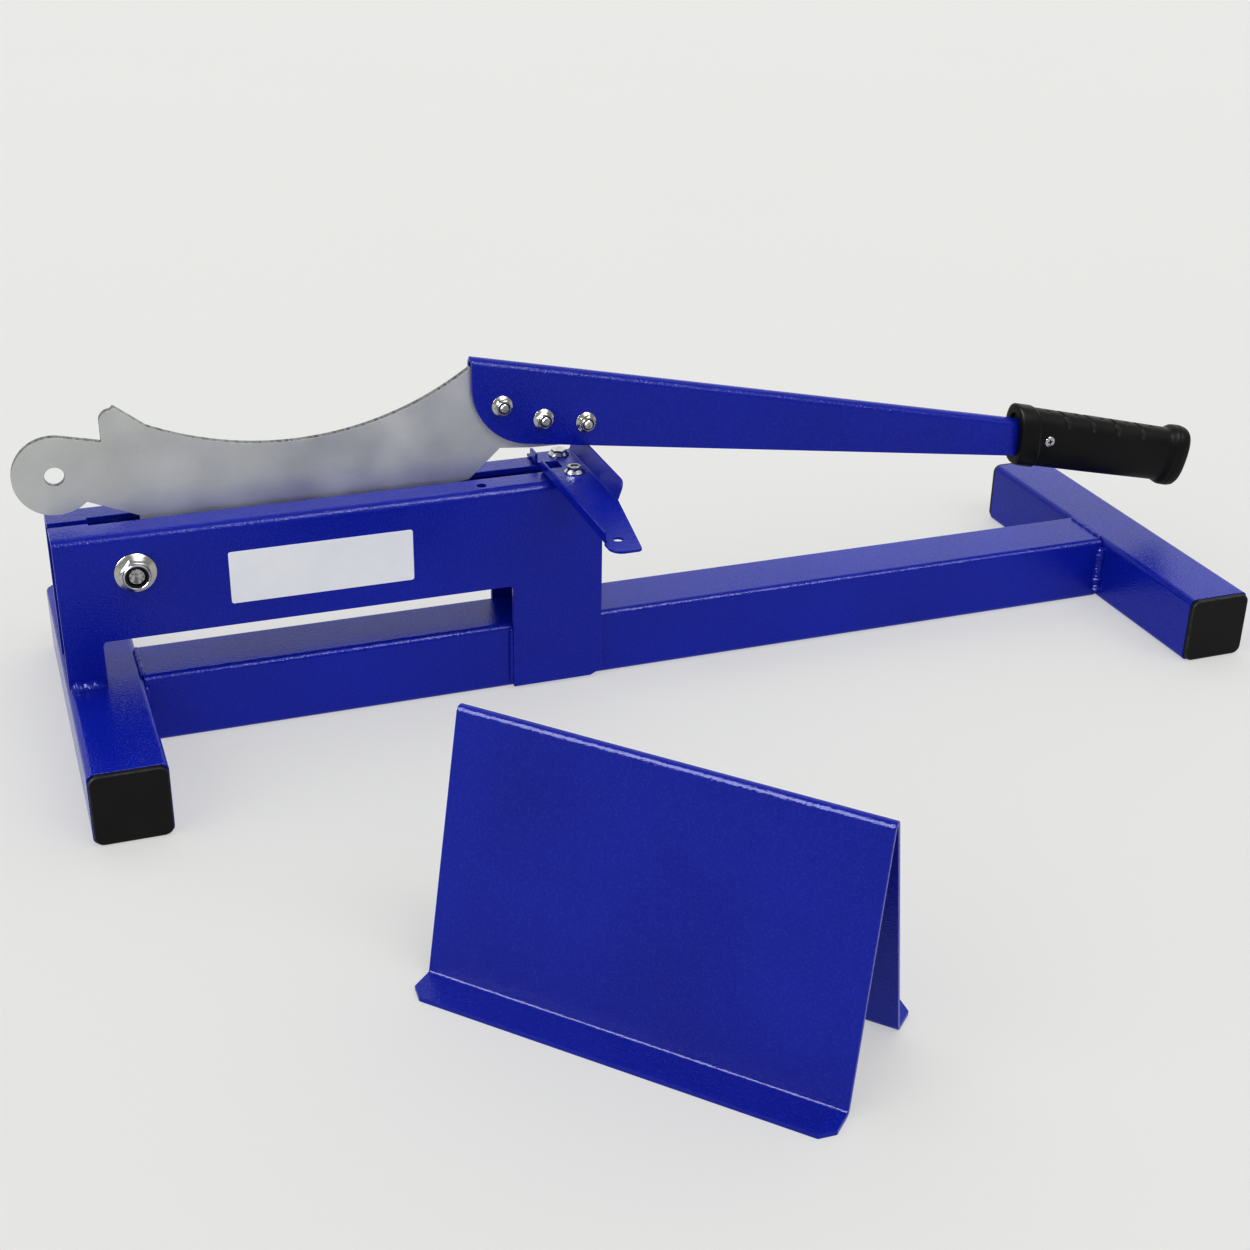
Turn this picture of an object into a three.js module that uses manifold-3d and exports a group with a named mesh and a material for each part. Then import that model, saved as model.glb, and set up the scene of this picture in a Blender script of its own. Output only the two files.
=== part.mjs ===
// Laminate cutter: a guillotine knife on a long lever, hinged in a folded housing on a square-tube base,
// with a fence on the deck and a loose stand that holds up the far end of the board.
// Units are millimetres. X runs along the base from the pivot end to the grip, Y away from the fence's
// free end, Z up. The origin is the middle of the beam's underside, on the floor.

import * as THREE from 'three';
import { mergeVertices } from 'three/addons/utils/BufferGeometryUtils.js';
import Module from 'manifold-3d';

// Fits that several pieces share
const seatGap = 0.3;            // between pieces that bear on each other
const boreGap = 0.3;            // round a shank in its hole
const cutOverrun = 5;           // how far a cutting solid runs past the face that it cuts

// Base: a beam between two cross feet, all of one square tube
const tubeSide = 40;
const tubeWall = 2;
const tubeCornerRadius = 3.5;
const beamLength = 599;
const footLength = 234;         // over its two caps

// Plastic caps in the open ends of the feet
const capFlange = 3;
const capInset = 0.4;           // how far the cap's edge stands back from the tube's sides
const capCornerRadius = 5;
const capPlugDepth = 12;
const capPlugWall = 2;

// Housing: a sheet folded to an inverted channel that straddles the beam
const housingLength = 298;
const housingSetback = 1;       // from the left foot's outer face
const housingSheet = 3;
const housingFoldRadius = 5;    // outside of the fold
const deckHeight = 125.3;
const leftLegWidth = 20;
const rightLegWidth = 53;
const legFloorGap = 1.5;
const legChamferWidth = 6.5;
const legChamferHeight = 3;
const windowHeight = 25.6;      // above the beam
const windowCornerRadius = 2.5;
const slotWidth = 10;
const slotInset = 20.5;         // from the housing's left end
const slotEndInset = 15;        // from the housing's right end
const tailSlitGap = 0.8;        // either side of the knife, in the slit that its tail swings down through
const spareHoleInset = 68;      // from the housing's right end
const spareHoleRadius = 2.6;

// Pivot: a bolt across the housing with a flange nut in front and two spacers inside
const pivotInset = 40.2;        // from the housing's left end
const pivotDrop = 21.7;         // below the deck
const pivotRadius = 5;
const pivotNutFlats = 15;
const pivotNutFlangeRadius = 10.9;
const pivotNutFlange = 2;
const pivotNutHeight = 7.5;
const pivotHeadFlats = 16;
const pivotHeadHeight = 6.4;
const pivotWasherRadius = 10;
const pivotWasher = 2;
const pivotTipLength = -1.2;    // of thread past the nut: it ends inside the nut
const pivotSpacerRadius = 8;

// Knife: a plate, drawn from the pivot with X and Z as in the base
const knifeThickness = 4;
const eyeRadius = 16;
const eyeJoinAngle = 65;        // where the plate leaves the eye, in degrees from X
const tailBack = 33.3;          // the tail lobe's centre behind the pivot
const tailRise = 49;            // and above it
const tailRadius = 21.4;
const tailHoleRadius = 5.1;
const tailTopAngle = 77.2;      // where the tail's top edge leaves the lobe
const tailNotchAngle = 46.8;    // where the lower edge meets the lobe, below X
const lowerEdgeReach = 7;       // the lower edge's end, ahead of the pivot
const lowerEdgeRise = 22.4;
const stepBack = 8.4;           // the hook's foot behind the pivot
const hookCornerRadius = 6;
const hookTipBack = 0.6;
const hookTipRise = 83.4;
const hookShoulderDrop = 1.6;   // from the tip to where the hook's round corner starts
const topArcRadius = 175;
const topArcReach = 88.8;       // the hollow top edge's lowest point ahead of the pivot
const topArcRise = 54.8;
const topArcStart = 14.8;       // the hollow's left end, ahead of the pivot
const heelReach = 174.8;        // the cutting edge's right end
const heelRise = 10.4;
const heelShoulderReach = 204.3;
const heelShoulderRise = 37.5;
const bandReach = 221.7;        // the narrow band that shows below the lever
const bandRise = 35.8;
const tabReach = 264.8;         // the end of the plate between the lever's sheets
const tabRise = 34.9;
const tabDepthUnderFold = 5.6;
const bevelWidth = 9;
const edgeThickness = 0.8;      // left on the cutting edge by the bevel

// Lever: a sheet folded over the knife's back, open below, drawn from the pivot too
const leverSheet = 2.5;
const leverLeft = 188.3;
const leverTopRise = 91.4;      // the top edge's height over the pivot at the lever's left end
const leverTopSlope = 11.9;     // degrees down to the right
const leverBottomSlope = 7.94;
const leverCornerReach = 223.8;
const leverCornerRise = 74.4;
const leverCornerRadius = 35.5;
const leverEnd = 609;
const leverBoltRadius = 2.5;
const leverBoltPlaces = [       // reach and rise from the pivot
  { reach: 204.9, rise: 63.0 },
  { reach: 228.7, rise: 52.9 },
  { reach: 253.6, rise: 48.4 },
];

// The small flange nuts and bolts of the lever and the fence
const smallNutFlats = 8;
const smallNutFlangeRadius = 5.9;
const smallNutFlange = 1.1;
const smallNutHeight = 5;
const smallHeadFlats = 8;
const smallHeadHeight = 3.5;
const smallTipLength = 1;

// Grip: a moulded oval handle, sleeved over the lever's end
const gripStart = 535.1;          // ahead of the pivot, on the lever's middle line
const gripRise = 8;
const gripSlope = 13.1;
const gripLength = 130;
const gripCollarLength = 14;
const gripEndLength = 15.5;
const gripCollarHalfHeight = 19;
const gripCollarTilt = 14;      // degrees that the collar's rim is turned from square to the grip
const gripCollarHalfWidth = 12;
const gripFrontHalfHeight = 18.1;
const gripFrontHalfWidth = 10.5;
const gripBackHalfHeight = 17.2;
const gripBackHalfWidth = 10;
const gripEndHalfHeight = 19.7;
const gripEndHalfWidth = 12;
const gripRound = 4;            // of the collar's and the end's rims
const gripSquareness = 2.5;     // the oval's exponent: 2 is an ellipse
const gripScrewReach = 21;      // along the grip
const gripScrewRise = 0.8;
const gripScrewHeadRadius = 3.5;
const gripScrewHead = 2;
const gripScrewRadius = 1.8;

// Fence: a sheet with both long edges turned up, bolted across the deck
const fenceSheet = 1.5;
const fenceEndInset = 4.3;      // of the plate's right edge, from the housing's right end
const fenceWidth = 26.6;
const fenceTipWidth = 16.7;
const fenceLean = 4.1;            // how far the right flange's top stands out past its foot
const fenceBack = 21;           // behind the knife
const fenceReach = 125;       // in front of the knife
const fenceGuideHeight = 7;     // of the left flange, over the deck
const fenceGuideReach = 111;
const fenceGuideBack = 15;
const fenceStopReach = 59;      // of the right flange, which the lever rests on
const fenceStopCornerRadius = 5;
const fenceTipLeftRadius = 7;
const fenceTipRightRadius = 3;
const fenceNotchDepth = 13;
const fenceNotchWidth = 10;
const fenceTipHoleInset = 15.5;
const fenceTipHoleRadius = 2.7;
const fenceBoltInset = 17;      // from the fence's left edge
const fenceBoltOffset = 14.2;   // either side of the knife
const fenceBoltRadius = 2.5;

// Blank label on the housing's front
const labelWidth = 100;
const labelHeight = 30;
const labelThickness = 0.25;
const labelInset = 88.2;        // from the housing's left end
const labelDrop = 17;           // from the deck to its top edge

// Loose stand: a sheet folded to a ridge, with a foot turned out along each side
const standLength = 200;
const standSpan = 59.5;         // between its two lower bends
const standHeight = 124;
const standFoot = 19.5;
const standSheet = 2.5;
const standRidgeRadius = 3;     // outside
const standFootChamfer = 6;
const standAngle = -46.9;       // its length's turn from X
const standOffsetX = -208.1;    // the left end of its front bend
const standOffsetY = -269.1;

// Facets
const arcSteps = 6;
const cornerSteps = 2;
const roundSteps = 20;
const ringSteps = 24;

const degrees = Math.PI / 180;
const wasm = await Module();
wasm.setup();

// Sizes that follow from those above
const baseLength = beamLength + 2 * tubeSide;
const leftEnd = -baseLength / 2;
const housingLeft = leftEnd + housingSetback;
const housingRight = housingLeft + housingLength;
const innerHalfWidth = tubeSide / 2 + seatGap;
const outerHalfWidth = innerHalfWidth + housingSheet;
const pivotX = housingLeft + pivotInset;
const pivotHeight = deckHeight - pivotDrop;
const knifeHalf = knifeThickness / 2;
const leverHalf = knifeHalf + seatGap + leverSheet;
const leverInnerHalf = knifeHalf + seatGap;

// Colours and surfaces
const bluePaint = new THREE.MeshStandardMaterial({ color: 0x141c96, roughness: 0.42, metalness: 0.1 });
const zincSteel = new THREE.MeshStandardMaterial({ color: 0x9a9ea0, roughness: 0.38, metalness: 0.85 });
const brightZinc = new THREE.MeshStandardMaterial({ color: 0xc9c8c0, roughness: 0.25, metalness: 0.95 });
const blackPlastic = new THREE.MeshStandardMaterial({ color: 0x161616, roughness: 0.6, metalness: 0 });
const blackRubber = new THREE.MeshStandardMaterial({ color: 0x1b1b1c, roughness: 0.55, metalness: 0 });
const whiteSheet = new THREE.MeshStandardMaterial({ color: 0xeef0f2, roughness: 0.45, metalness: 0 });

// Turns a closed geometry into a solid that can be joined and cut
function solid(geometry) {
  const bare = geometry.clone();
  bare.deleteAttribute('normal');
  bare.deleteAttribute('uv');
  const merged = mergeVertices(bare);
  return new wasm.Manifold(new wasm.Mesh({
    numProp: 3,
    vertProperties: new Float32Array(merged.attributes.position.array),
    triVerts: new Uint32Array(merged.index.array),
  }));
}

// Turns a solid back into a geometry
function geometryOf(manifold) {
  const mesh = manifold.getMesh();
  const geometry = new THREE.BufferGeometry();
  geometry.setAttribute('position', new THREE.BufferAttribute(mesh.vertProperties, mesh.numProp));
  geometry.setIndex(new THREE.BufferAttribute(mesh.triVerts, 1));
  geometry.computeVertexNormals();
  return geometry;
}

function joined(first, ...others) {
  return geometryOf(others.reduce((whole, other) => whole.add(solid(other)), solid(first)));
}

function cut(blank, ...tools) {
  return geometryOf(tools.reduce((whole, tool) => whole.subtract(solid(tool)), solid(blank)));
}

function common(first, second) {
  return geometryOf(solid(first).intersect(solid(second)));
}

// A box between two corners
function boxBetween(x0, x1, y0, y1, z0, z1) {
  const box = new THREE.BoxGeometry(x1 - x0, y1 - y0, z1 - z0);
  return box.translate((x0 + x1) / 2, (y0 + y1) / 2, (z0 + z1) / 2);
}

// A shape drawn in X and Y, raised from z0 to z1
function raised(shape, z0, z1, curveSegments = arcSteps) {
  const options = { depth: z1 - z0, bevelEnabled: false, curveSegments };
  return new THREE.ExtrudeGeometry(shape, options).translate(0, 0, z0);
}

// A shape drawn in X and Z, spread from y0 to y1
function spread(shape, y0, y1, curveSegments = arcSteps) {
  return raised(shape, 0, y1 - y0, curveSegments).rotateX(Math.PI / 2).translate(0, y1, 0);
}

// A shape drawn in Y and Z, run along X from x0 to x1
function run(shape, x0, x1, curveSegments = arcSteps) {
  const turn = new THREE.Matrix4().makeBasis(
    new THREE.Vector3(0, 1, 0), new THREE.Vector3(0, 0, 1), new THREE.Vector3(1, 0, 0));
  return raised(shape, x0, x1, curveSegments).applyMatrix4(turn);
}

// A round rod or hole tool that crosses the machine, from y0 to y1
function crossRod(x, z, radius, y0, y1) {
  const rod = new THREE.CylinderGeometry(radius, radius, y1 - y0, roundSteps);
  return rod.translate(x, (y0 + y1) / 2, z);
}

function uprightRod(x, y, radius, z0, z1) {
  const rod = new THREE.CylinderGeometry(radius, radius, z1 - z0, roundSteps);
  return rod.rotateX(Math.PI / 2).translate(x, y, (z0 + z1) / 2);
}

// A rectangle with round corners, centred, as an outline or as a hole
function roundedRectangle(width, height, radius, path = new THREE.Shape()) {
  const x = width / 2 - radius;
  const y = height / 2 - radius;
  path.absarc(x, y, radius, 0, Math.PI / 2, false);
  path.absarc(-x, y, radius, Math.PI / 2, Math.PI, false);
  path.absarc(-x, -y, radius, Math.PI, 3 * Math.PI / 2, false);
  path.absarc(x, -y, radius, 3 * Math.PI / 2, 2 * Math.PI, false);
  path.closePath();
  return path;
}

function circle(radius, path = new THREE.Shape()) {
  path.absarc(0, 0, radius, 0, 2 * Math.PI, false);
  return path;
}

function hexagon(acrossFlats) {
  const corner = acrossFlats / Math.sqrt(3);
  const shape = new THREE.Shape();
  for (let side = 0; side < 6; side += 1) {
    const angle = side * Math.PI / 3;
    const method = side === 0 ? 'moveTo' : 'lineTo';
    shape[method](corner * Math.cos(angle), corner * Math.sin(angle));
  }
  shape.closePath();
  return shape;
}

// Fasteners, each made along Z with its seat at z = 0
function washer(outerRadius, bore, thickness) {
  const shape = circle(outerRadius);
  shape.holes.push(circle(bore, new THREE.Path()));
  return raised(shape, 0, thickness, roundSteps / 2);
}

function flangeNut(bore, acrossFlats, flangeRadius, flange, height) {
  const hex = hexagon(acrossFlats);
  const body = raised(hex, 0, height);
  const hole = uprightRod(0, 0, bore, -cutOverrun, height + cutOverrun);
  return cut(joined(body, flangeCone(flangeRadius, flange, acrossFlats)), hole);
}

// The flange: a flat rim that rises in a cone to the hexagon's flats
function flangeCone(radius, rim, acrossFlats) {
  const shoulder = rim * 2;
  return new THREE.LatheGeometry([
    new THREE.Vector2(0, 0),
    new THREE.Vector2(radius, 0),
    new THREE.Vector2(radius, rim / 2),
    new THREE.Vector2(acrossFlats / 2, shoulder),
    new THREE.Vector2(0, shoulder),
  ], roundSteps).rotateX(Math.PI / 2);
}

function hexBolt(radius, shank, acrossFlats, head) {
  const tip = radius / 4;
  const pin = new THREE.LatheGeometry([
    new THREE.Vector2(0, -shank),
    new THREE.Vector2(radius - tip, -shank),
    new THREE.Vector2(radius, tip - shank),
    new THREE.Vector2(radius, head / 2),
    new THREE.Vector2(0, head / 2),
  ], roundSteps).rotateX(Math.PI / 2);
  return joined(pin, raised(hexagon(acrossFlats), 0, head));
}

// Turned so that what pointed up now points to the front or to the back
function facingFront(geometry) {
  return geometry.rotateX(Math.PI / 2);
}

function facingBack(geometry) {
  return geometry.rotateX(-Math.PI / 2);
}

const model = new THREE.Group();
const swing = new THREE.Group();
swing.position.set(pivotX, 0, pivotHeight);
model.add(swing);

function place(parent, name, geometry, material) {
  const mesh = new THREE.Mesh(geometry, material);
  mesh.name = name;
  parent.add(mesh);
  return mesh;
}

// Square tube with a bore, as a section
function tubeSection() {
  const section = roundedRectangle(tubeSide, tubeSide, tubeCornerRadius);
  const bore = tubeSide - 2 * tubeWall;
  section.holes.push(roundedRectangle(bore, bore, tubeCornerRadius - tubeWall, new THREE.Path()));
  return section;
}

function addBase() {
  const beam = run(tubeSection(), -beamLength / 2, beamLength / 2, cornerSteps).translate(0, 0, tubeSide / 2);
  place(model, 'base_beam', beam, bluePaint);
  const tubeHalf = footLength / 2 - capFlange;
  const sides = [['left', -1], ['right', 1]];
  const ends = [['front', -1], ['back', 1]];
  for (const [side, direction] of sides) {
    const x = direction * (beamLength + tubeSide) / 2;
    const foot = spread(tubeSection(), -tubeHalf, tubeHalf, cornerSteps).translate(x, 0, tubeSide / 2);
    place(model, `${side}_foot`, foot, bluePaint);
    for (const [end, toward] of ends) {
      const cap = footCap();
      if (toward > 0) cap.rotateZ(Math.PI);
      cap.translate(x, toward * tubeHalf, tubeSide / 2);
      place(model, `${side}_foot_${end}_cap`, cap, blackPlastic);
    }
  }
}

// A cap for a front end: a plate outside the tube and a hollow plug inside it
function footCap() {
  const plateSide = tubeSide - 2 * capInset;
  const face = roundedRectangle(plateSide, plateSide, capCornerRadius);
  const plate = spread(face, -capFlange, 0, cornerSteps);
  const plugSide = tubeSide - 2 * tubeWall - 2 * seatGap;
  const plug = roundedRectangle(plugSide, plugSide, tubeCornerRadius - tubeWall);
  const hollow = plugSide - 2 * capPlugWall;
  const cavity = boxBetween(-hollow / 2, hollow / 2, 0, capPlugDepth + cutOverrun, -hollow / 2, hollow / 2);
  return cut(joined(plate, spread(plug, -capFlange / 2, capPlugDepth, cornerSteps)), cavity);
}

// The housing's section: two walls and the deck, with round folds
function housingSection() {
  const inner = innerHalfWidth;
  const outer = outerHalfWidth;
  const innerRadius = housingFoldRadius - housingSheet;
  const foldHeight = deckHeight - housingFoldRadius;
  const section = new THREE.Shape();
  section.moveTo(inner, legFloorGap);
  section.lineTo(outer, legFloorGap);
  section.absarc(outer - housingFoldRadius, foldHeight, housingFoldRadius, 0, Math.PI / 2, false);
  section.absarc(housingFoldRadius - outer, foldHeight, housingFoldRadius, Math.PI / 2, Math.PI, false);
  section.lineTo(-outer, legFloorGap);
  section.lineTo(-inner, legFloorGap);
  section.absarc(innerRadius - inner, foldHeight, innerRadius, Math.PI, Math.PI / 2, true);
  section.absarc(inner - innerRadius, foldHeight, innerRadius, Math.PI / 2, 0, true);
  section.closePath();
  return section;
}

// What the walls lose, seen from the front: the window, and the left leg below the foot's top
function windowOutline() {
  const left = housingLeft + leftLegWidth;
  const right = housingRight - rightLegWidth;
  const radius = windowCornerRadius;
  const top = tubeSide + windowHeight;
  const bottom = -cutOverrun;
  const outline = new THREE.Shape();
  outline.moveTo(housingLeft - cutOverrun, bottom);
  outline.lineTo(right, bottom);
  outline.absarc(right - radius, top - radius, radius, 0, Math.PI / 2, false);
  outline.absarc(left + radius, top - radius, radius, Math.PI / 2, Math.PI, false);
  outline.lineTo(left, tubeSide + seatGap);
  outline.lineTo(housingLeft - cutOverrun, tubeSide + seatGap);
  outline.closePath();
  return outline;
}

function legChamferOutline() {
  const outline = new THREE.Shape();
  outline.moveTo(housingRight - legChamferWidth, legFloorGap);
  outline.lineTo(housingRight, legFloorGap + legChamferHeight);
  outline.lineTo(housingRight + cutOverrun, legFloorGap - cutOverrun);
  outline.closePath();
  return outline;
}

function addHousing() {
  const across = outerHalfWidth + cutOverrun;
  const deckBottom = deckHeight - housingSheet - cutOverrun;
  const deckTop = deckHeight + cutOverrun;
  const slotLeft = housingLeft + slotInset;
  const slotRight = housingRight - slotEndInset;
  const slot = boxBetween(slotLeft, slotRight, -slotWidth / 2, slotWidth / 2, deckBottom, deckTop);
  const slitHalf = knifeHalf + tailSlitGap;
  const slit = boxBetween(housingLeft - cutOverrun, slotLeft + cutOverrun, -slitHalf, slitHalf, deckBottom, deckTop);
  const pivotHole = crossRod(pivotX, pivotHeight, pivotRadius + boreGap, -across, across);
  const boltX = housingRight - fenceEndInset - fenceWidth + fenceBoltInset;
  const boltHoles = [-1, 1].map((side) => uprightRod(
    boltX, side * fenceBoltOffset, fenceBoltRadius + boreGap, deckBottom, deckTop));
  const spareX = housingRight - spareHoleInset;
  const spareHole = uprightRod(spareX, -fenceBoltOffset, spareHoleRadius, deckBottom, deckTop);
  const housing = cut(
    run(housingSection(), housingLeft, housingRight),
    spread(windowOutline(), -across, across),
    spread(legChamferOutline(), -across, across),
    slot, slit, pivotHole, ...boltHoles, spareHole,
  );
  place(model, 'housing', housing, bluePaint);
  addLabel();
}

function addLabel() {
  const left = housingLeft + labelInset;
  const top = deckHeight - labelDrop;
  const label = boxBetween(left, left + labelWidth,
    -outerHalfWidth - labelThickness, -outerHalfWidth, top - labelHeight, top);
  place(model, 'label', label, whiteSheet);
}

function addPivot() {
  const at = (geometry, y) => geometry.translate(pivotX, y, pivotHeight);
  const bore = pivotRadius + boreGap;
  const nut = flangeNut(bore, pivotNutFlats, pivotNutFlangeRadius, pivotNutFlange, pivotNutHeight);
  place(model, 'pivot_nut', at(facingFront(nut), -outerHalfWidth), brightZinc);
  const ring = facingBack(washer(pivotWasherRadius, bore, pivotWasher));
  place(model, 'pivot_washer', at(ring, outerHalfWidth), brightZinc);
  const headSeat = outerHalfWidth + pivotWasher;
  const shank = headSeat + outerHalfWidth + pivotNutHeight + pivotTipLength;
  const bolt = facingBack(hexBolt(pivotRadius, shank, pivotHeadFlats, pivotHeadHeight));
  place(model, 'pivot_bolt', at(bolt, headSeat), brightZinc);
  const spacerLength = innerHalfWidth - knifeHalf - 2 * seatGap;
  const start = knifeHalf + seatGap;
  const frontSpacer = facingFront(washer(pivotSpacerRadius, bore, spacerLength));
  place(model, 'pivot_spacer_front', at(frontSpacer, -start), zincSteel);
  const backSpacer = facingBack(washer(pivotSpacerRadius, bore, spacerLength));
  place(model, 'pivot_spacer_back', at(backSpacer, start), zincSteel);
}

// Height of the lever's top edge over the pivot, at a distance ahead of it
function leverTopAt(reach) {
  return leverTopRise - Math.tan(leverTopSlope * degrees) * (reach - leverLeft);
}

// Height of the lever's bottom edge, which leaves its round corner as a tangent
function leverBottomAt(reach) {
  const slope = leverBottomSlope * degrees;
  const startReach = leverCornerReach - leverCornerRadius * Math.sin(slope);
  const startRise = leverCornerRise - leverCornerRadius * Math.cos(slope);
  return startRise - Math.tan(slope) * (reach - startReach);
}

// The knife seen from the front, drawn round its pivot
function knifeOutline() {
  const outline = new THREE.Shape();
  const notch = -tailNotchAngle * degrees;
  const edgeAngle = cuttingEdgeAngle();
  outline.moveTo(tailRadius * Math.cos(notch) - tailBack, tailRise + tailRadius * Math.sin(notch));
  outline.lineTo(lowerEdgeReach, lowerEdgeRise);
  outline.absarc(0, 0, eyeRadius, eyeJoinAngle * degrees, edgeAngle + 3 * Math.PI / 2, false);
  outline.lineTo(heelReach, heelRise);
  outline.lineTo(heelShoulderReach, heelShoulderRise);
  outline.lineTo(bandReach, bandRise);
  outline.lineTo(tabReach, tabRise);
  outline.lineTo(tabReach, leverTopAt(tabReach) - tabDepthUnderFold);
  const arcRight = Math.asin((leverLeft - topArcReach) / topArcRadius) - Math.PI / 2;
  const arcLeft = Math.asin((topArcStart - topArcReach) / topArcRadius) - Math.PI / 2;
  outline.absarc(topArcReach, topArcRise + topArcRadius, topArcRadius, arcRight, arcLeft, true);
  outline.lineTo(-hookTipBack, hookTipRise);
  const cornerRise = hookTipRise - hookShoulderDrop - hookCornerRadius;
  outline.absarc(hookCornerRadius - stepBack, cornerRise, hookCornerRadius, Math.PI / 2, Math.PI, false);
  const tailTop = tailTopAngle * degrees;
  const tangentReach = tailRadius * Math.cos(tailTop) - tailBack;
  const tangentRise = tailRise + tailRadius * Math.sin(tailTop);
  outline.lineTo(-stepBack, tangentRise - (-stepBack - tangentReach) / Math.tan(tailTop));
  outline.absarc(-tailBack, tailRise, tailRadius, tailTop, 2 * Math.PI + notch, false);
  outline.closePath();
  return outline;
}

// The cutting edge runs from a tangent of the eye to the heel
function cuttingEdgeAngle() {
  const distance = Math.hypot(heelReach, heelRise);
  return Math.atan2(heelRise, heelReach) + Math.asin(eyeRadius / distance);
}

// The wedge that grinds the front of the cutting edge
function bevelTool() {
  const wedge = new THREE.Shape();
  const face = -knifeHalf;
  const side = edgeThickness - knifeHalf;
  const deep = knifeThickness - edgeThickness;
  wedge.moveTo(face - deep, -cutOverrun);
  wedge.lineTo(side + deep * (1 + cutOverrun / bevelWidth), -cutOverrun);
  wedge.lineTo(face, bevelWidth);
  wedge.lineTo(face - deep, bevelWidth);
  wedge.closePath();
  const length = Math.hypot(heelReach, heelRise);
  return run(wedge, eyeRadius, length).translate(0, 0, -eyeRadius).rotateY(-cuttingEdgeAngle());
}

function addKnife() {
  const plate = spread(knifeOutline(), -knifeHalf, knifeHalf);
  const across = knifeHalf + cutOverrun;
  const hole = (reach, rise, radius) => crossRod(reach, rise, radius, -across, across);
  const knife = cut(
    plate,
    hole(0, 0, pivotRadius + boreGap),
    hole(-tailBack, tailRise, tailHoleRadius),
    ...leverBoltPlaces.map(({ reach, rise }) => hole(reach, rise, leverBoltRadius + boreGap)),
    bevelTool(),
  );
  place(swing, 'knife', knife, zincSteel);
}

// The lever's sides seen from the front; a margin makes the matching bore of the grip
function leverOutline(margin) {
  const outline = new THREE.Shape();
  const slope = leverBottomSlope * degrees;
  const top = leverTopRise + leverCornerRadius;
  outline.moveTo(leverEnd + margin, top);
  outline.lineTo(leverLeft, top);
  outline.lineTo(leverLeft, leverCornerRise);
  const bottomAngle = 3 * Math.PI / 2 - slope;
  outline.absarc(leverCornerReach, leverCornerRise, leverCornerRadius, Math.PI, bottomAngle, false);
  outline.lineTo(leverEnd + margin, leverBottomAt(leverEnd + margin) - margin);
  outline.closePath();
  return outline;
}

// The folded channel that the sides are cut from
function leverFold(outerHalf, innerHalf) {
  const depth = leverCornerRadius * 3;
  const section = new THREE.Shape();
  section.moveTo(innerHalf, -depth);
  section.lineTo(outerHalf, -depth);
  section.absarc(0, -outerHalf, outerHalf, 0, Math.PI, false);
  section.lineTo(-outerHalf, -depth);
  if (innerHalf > 0) {
    section.lineTo(-innerHalf, -depth);
    section.absarc(0, -outerHalf, innerHalf, Math.PI, 0, true);
  }
  section.closePath();
  const slope = leverTopSlope * degrees;
  const length = (leverEnd - leverLeft + depth) / Math.cos(slope);
  return run(section, -depth, length).rotateY(slope).translate(leverLeft, 0, leverTopRise);
}

function addLever() {
  const across = leverHalf + cutOverrun;
  const sides = spread(leverOutline(0), -across, across);
  const hole = ({ reach, rise }) => crossRod(reach, rise, leverBoltRadius + boreGap, -across, across);
  const screwPlace = alongGrip(gripScrewReach, gripScrewRise);
  const screwHole = crossRod(screwPlace.x, screwPlace.z, gripScrewRadius + boreGap, -across, 0);
  const blank = common(leverFold(leverHalf, leverInnerHalf), sides);
  const lever = cut(blank, ...leverBoltPlaces.map(hole), screwHole);
  place(swing, 'lever_arm', lever, bluePaint);
  leverBoltPlaces.forEach(({ reach, rise }, index) => {
    const nut = facingFront(smallNut()).translate(reach, -leverHalf, rise);
    place(swing, `lever_nut_${index + 1}`, nut, brightZinc);
    const shank = 2 * leverHalf + smallNutHeight + smallTipLength;
    const bolt = facingBack(smallBolt(leverBoltRadius, shank)).translate(reach, leverHalf, rise);
    place(swing, `lever_bolt_${index + 1}`, bolt, brightZinc);
  });
}

function smallNut() {
  const bore = leverBoltRadius + boreGap;
  return flangeNut(bore, smallNutFlats, smallNutFlangeRadius, smallNutFlange, smallNutHeight);
}

function smallBolt(radius, shank) {
  return hexBolt(radius, shank, smallHeadFlats, smallHeadHeight);
}

// A place on the grip's middle plane, from the distance along its axis and the height over it
function alongGrip(distance, rise) {
  const slope = gripSlope * degrees;
  return new THREE.Vector3(
    gripStart + distance * Math.cos(slope) + rise * Math.sin(slope),
    0,
    gripRise - distance * Math.sin(slope) + rise * Math.cos(slope),
  );
}

// The grip's sections, from the mouth to the end: distance, half height, half width and tilt
function gripSections() {
  const rim = gripRound;
  const body = gripLength - gripEndLength;
  const tilt = Math.tan(gripCollarTilt * degrees);
  const collar = (distance, inset) => ({
    distance, height: gripCollarHalfHeight - inset, width: gripCollarHalfWidth - inset, tilt,
  });
  const end = (distance, inset) => ({
    distance, height: gripEndHalfHeight - inset, width: gripEndHalfWidth - inset, tilt: 0,
  });
  return [
    collar(0, rim / 2),
    collar(rim / 2, 0),
    collar(gripCollarLength - rim / 2, 0),
    { distance: gripCollarLength, height: gripFrontHalfHeight, width: gripFrontHalfWidth, tilt },
    { distance: body, height: gripBackHalfHeight, width: gripBackHalfWidth, tilt: 0 },
    end(body + rim, rim / 3),
    end(body + 2 * rim, 0),
    end(gripLength - rim, rim / 4),
    end(gripLength - rim / 3, rim),
    end(gripLength, 2 * rim),
  ];
}

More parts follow.
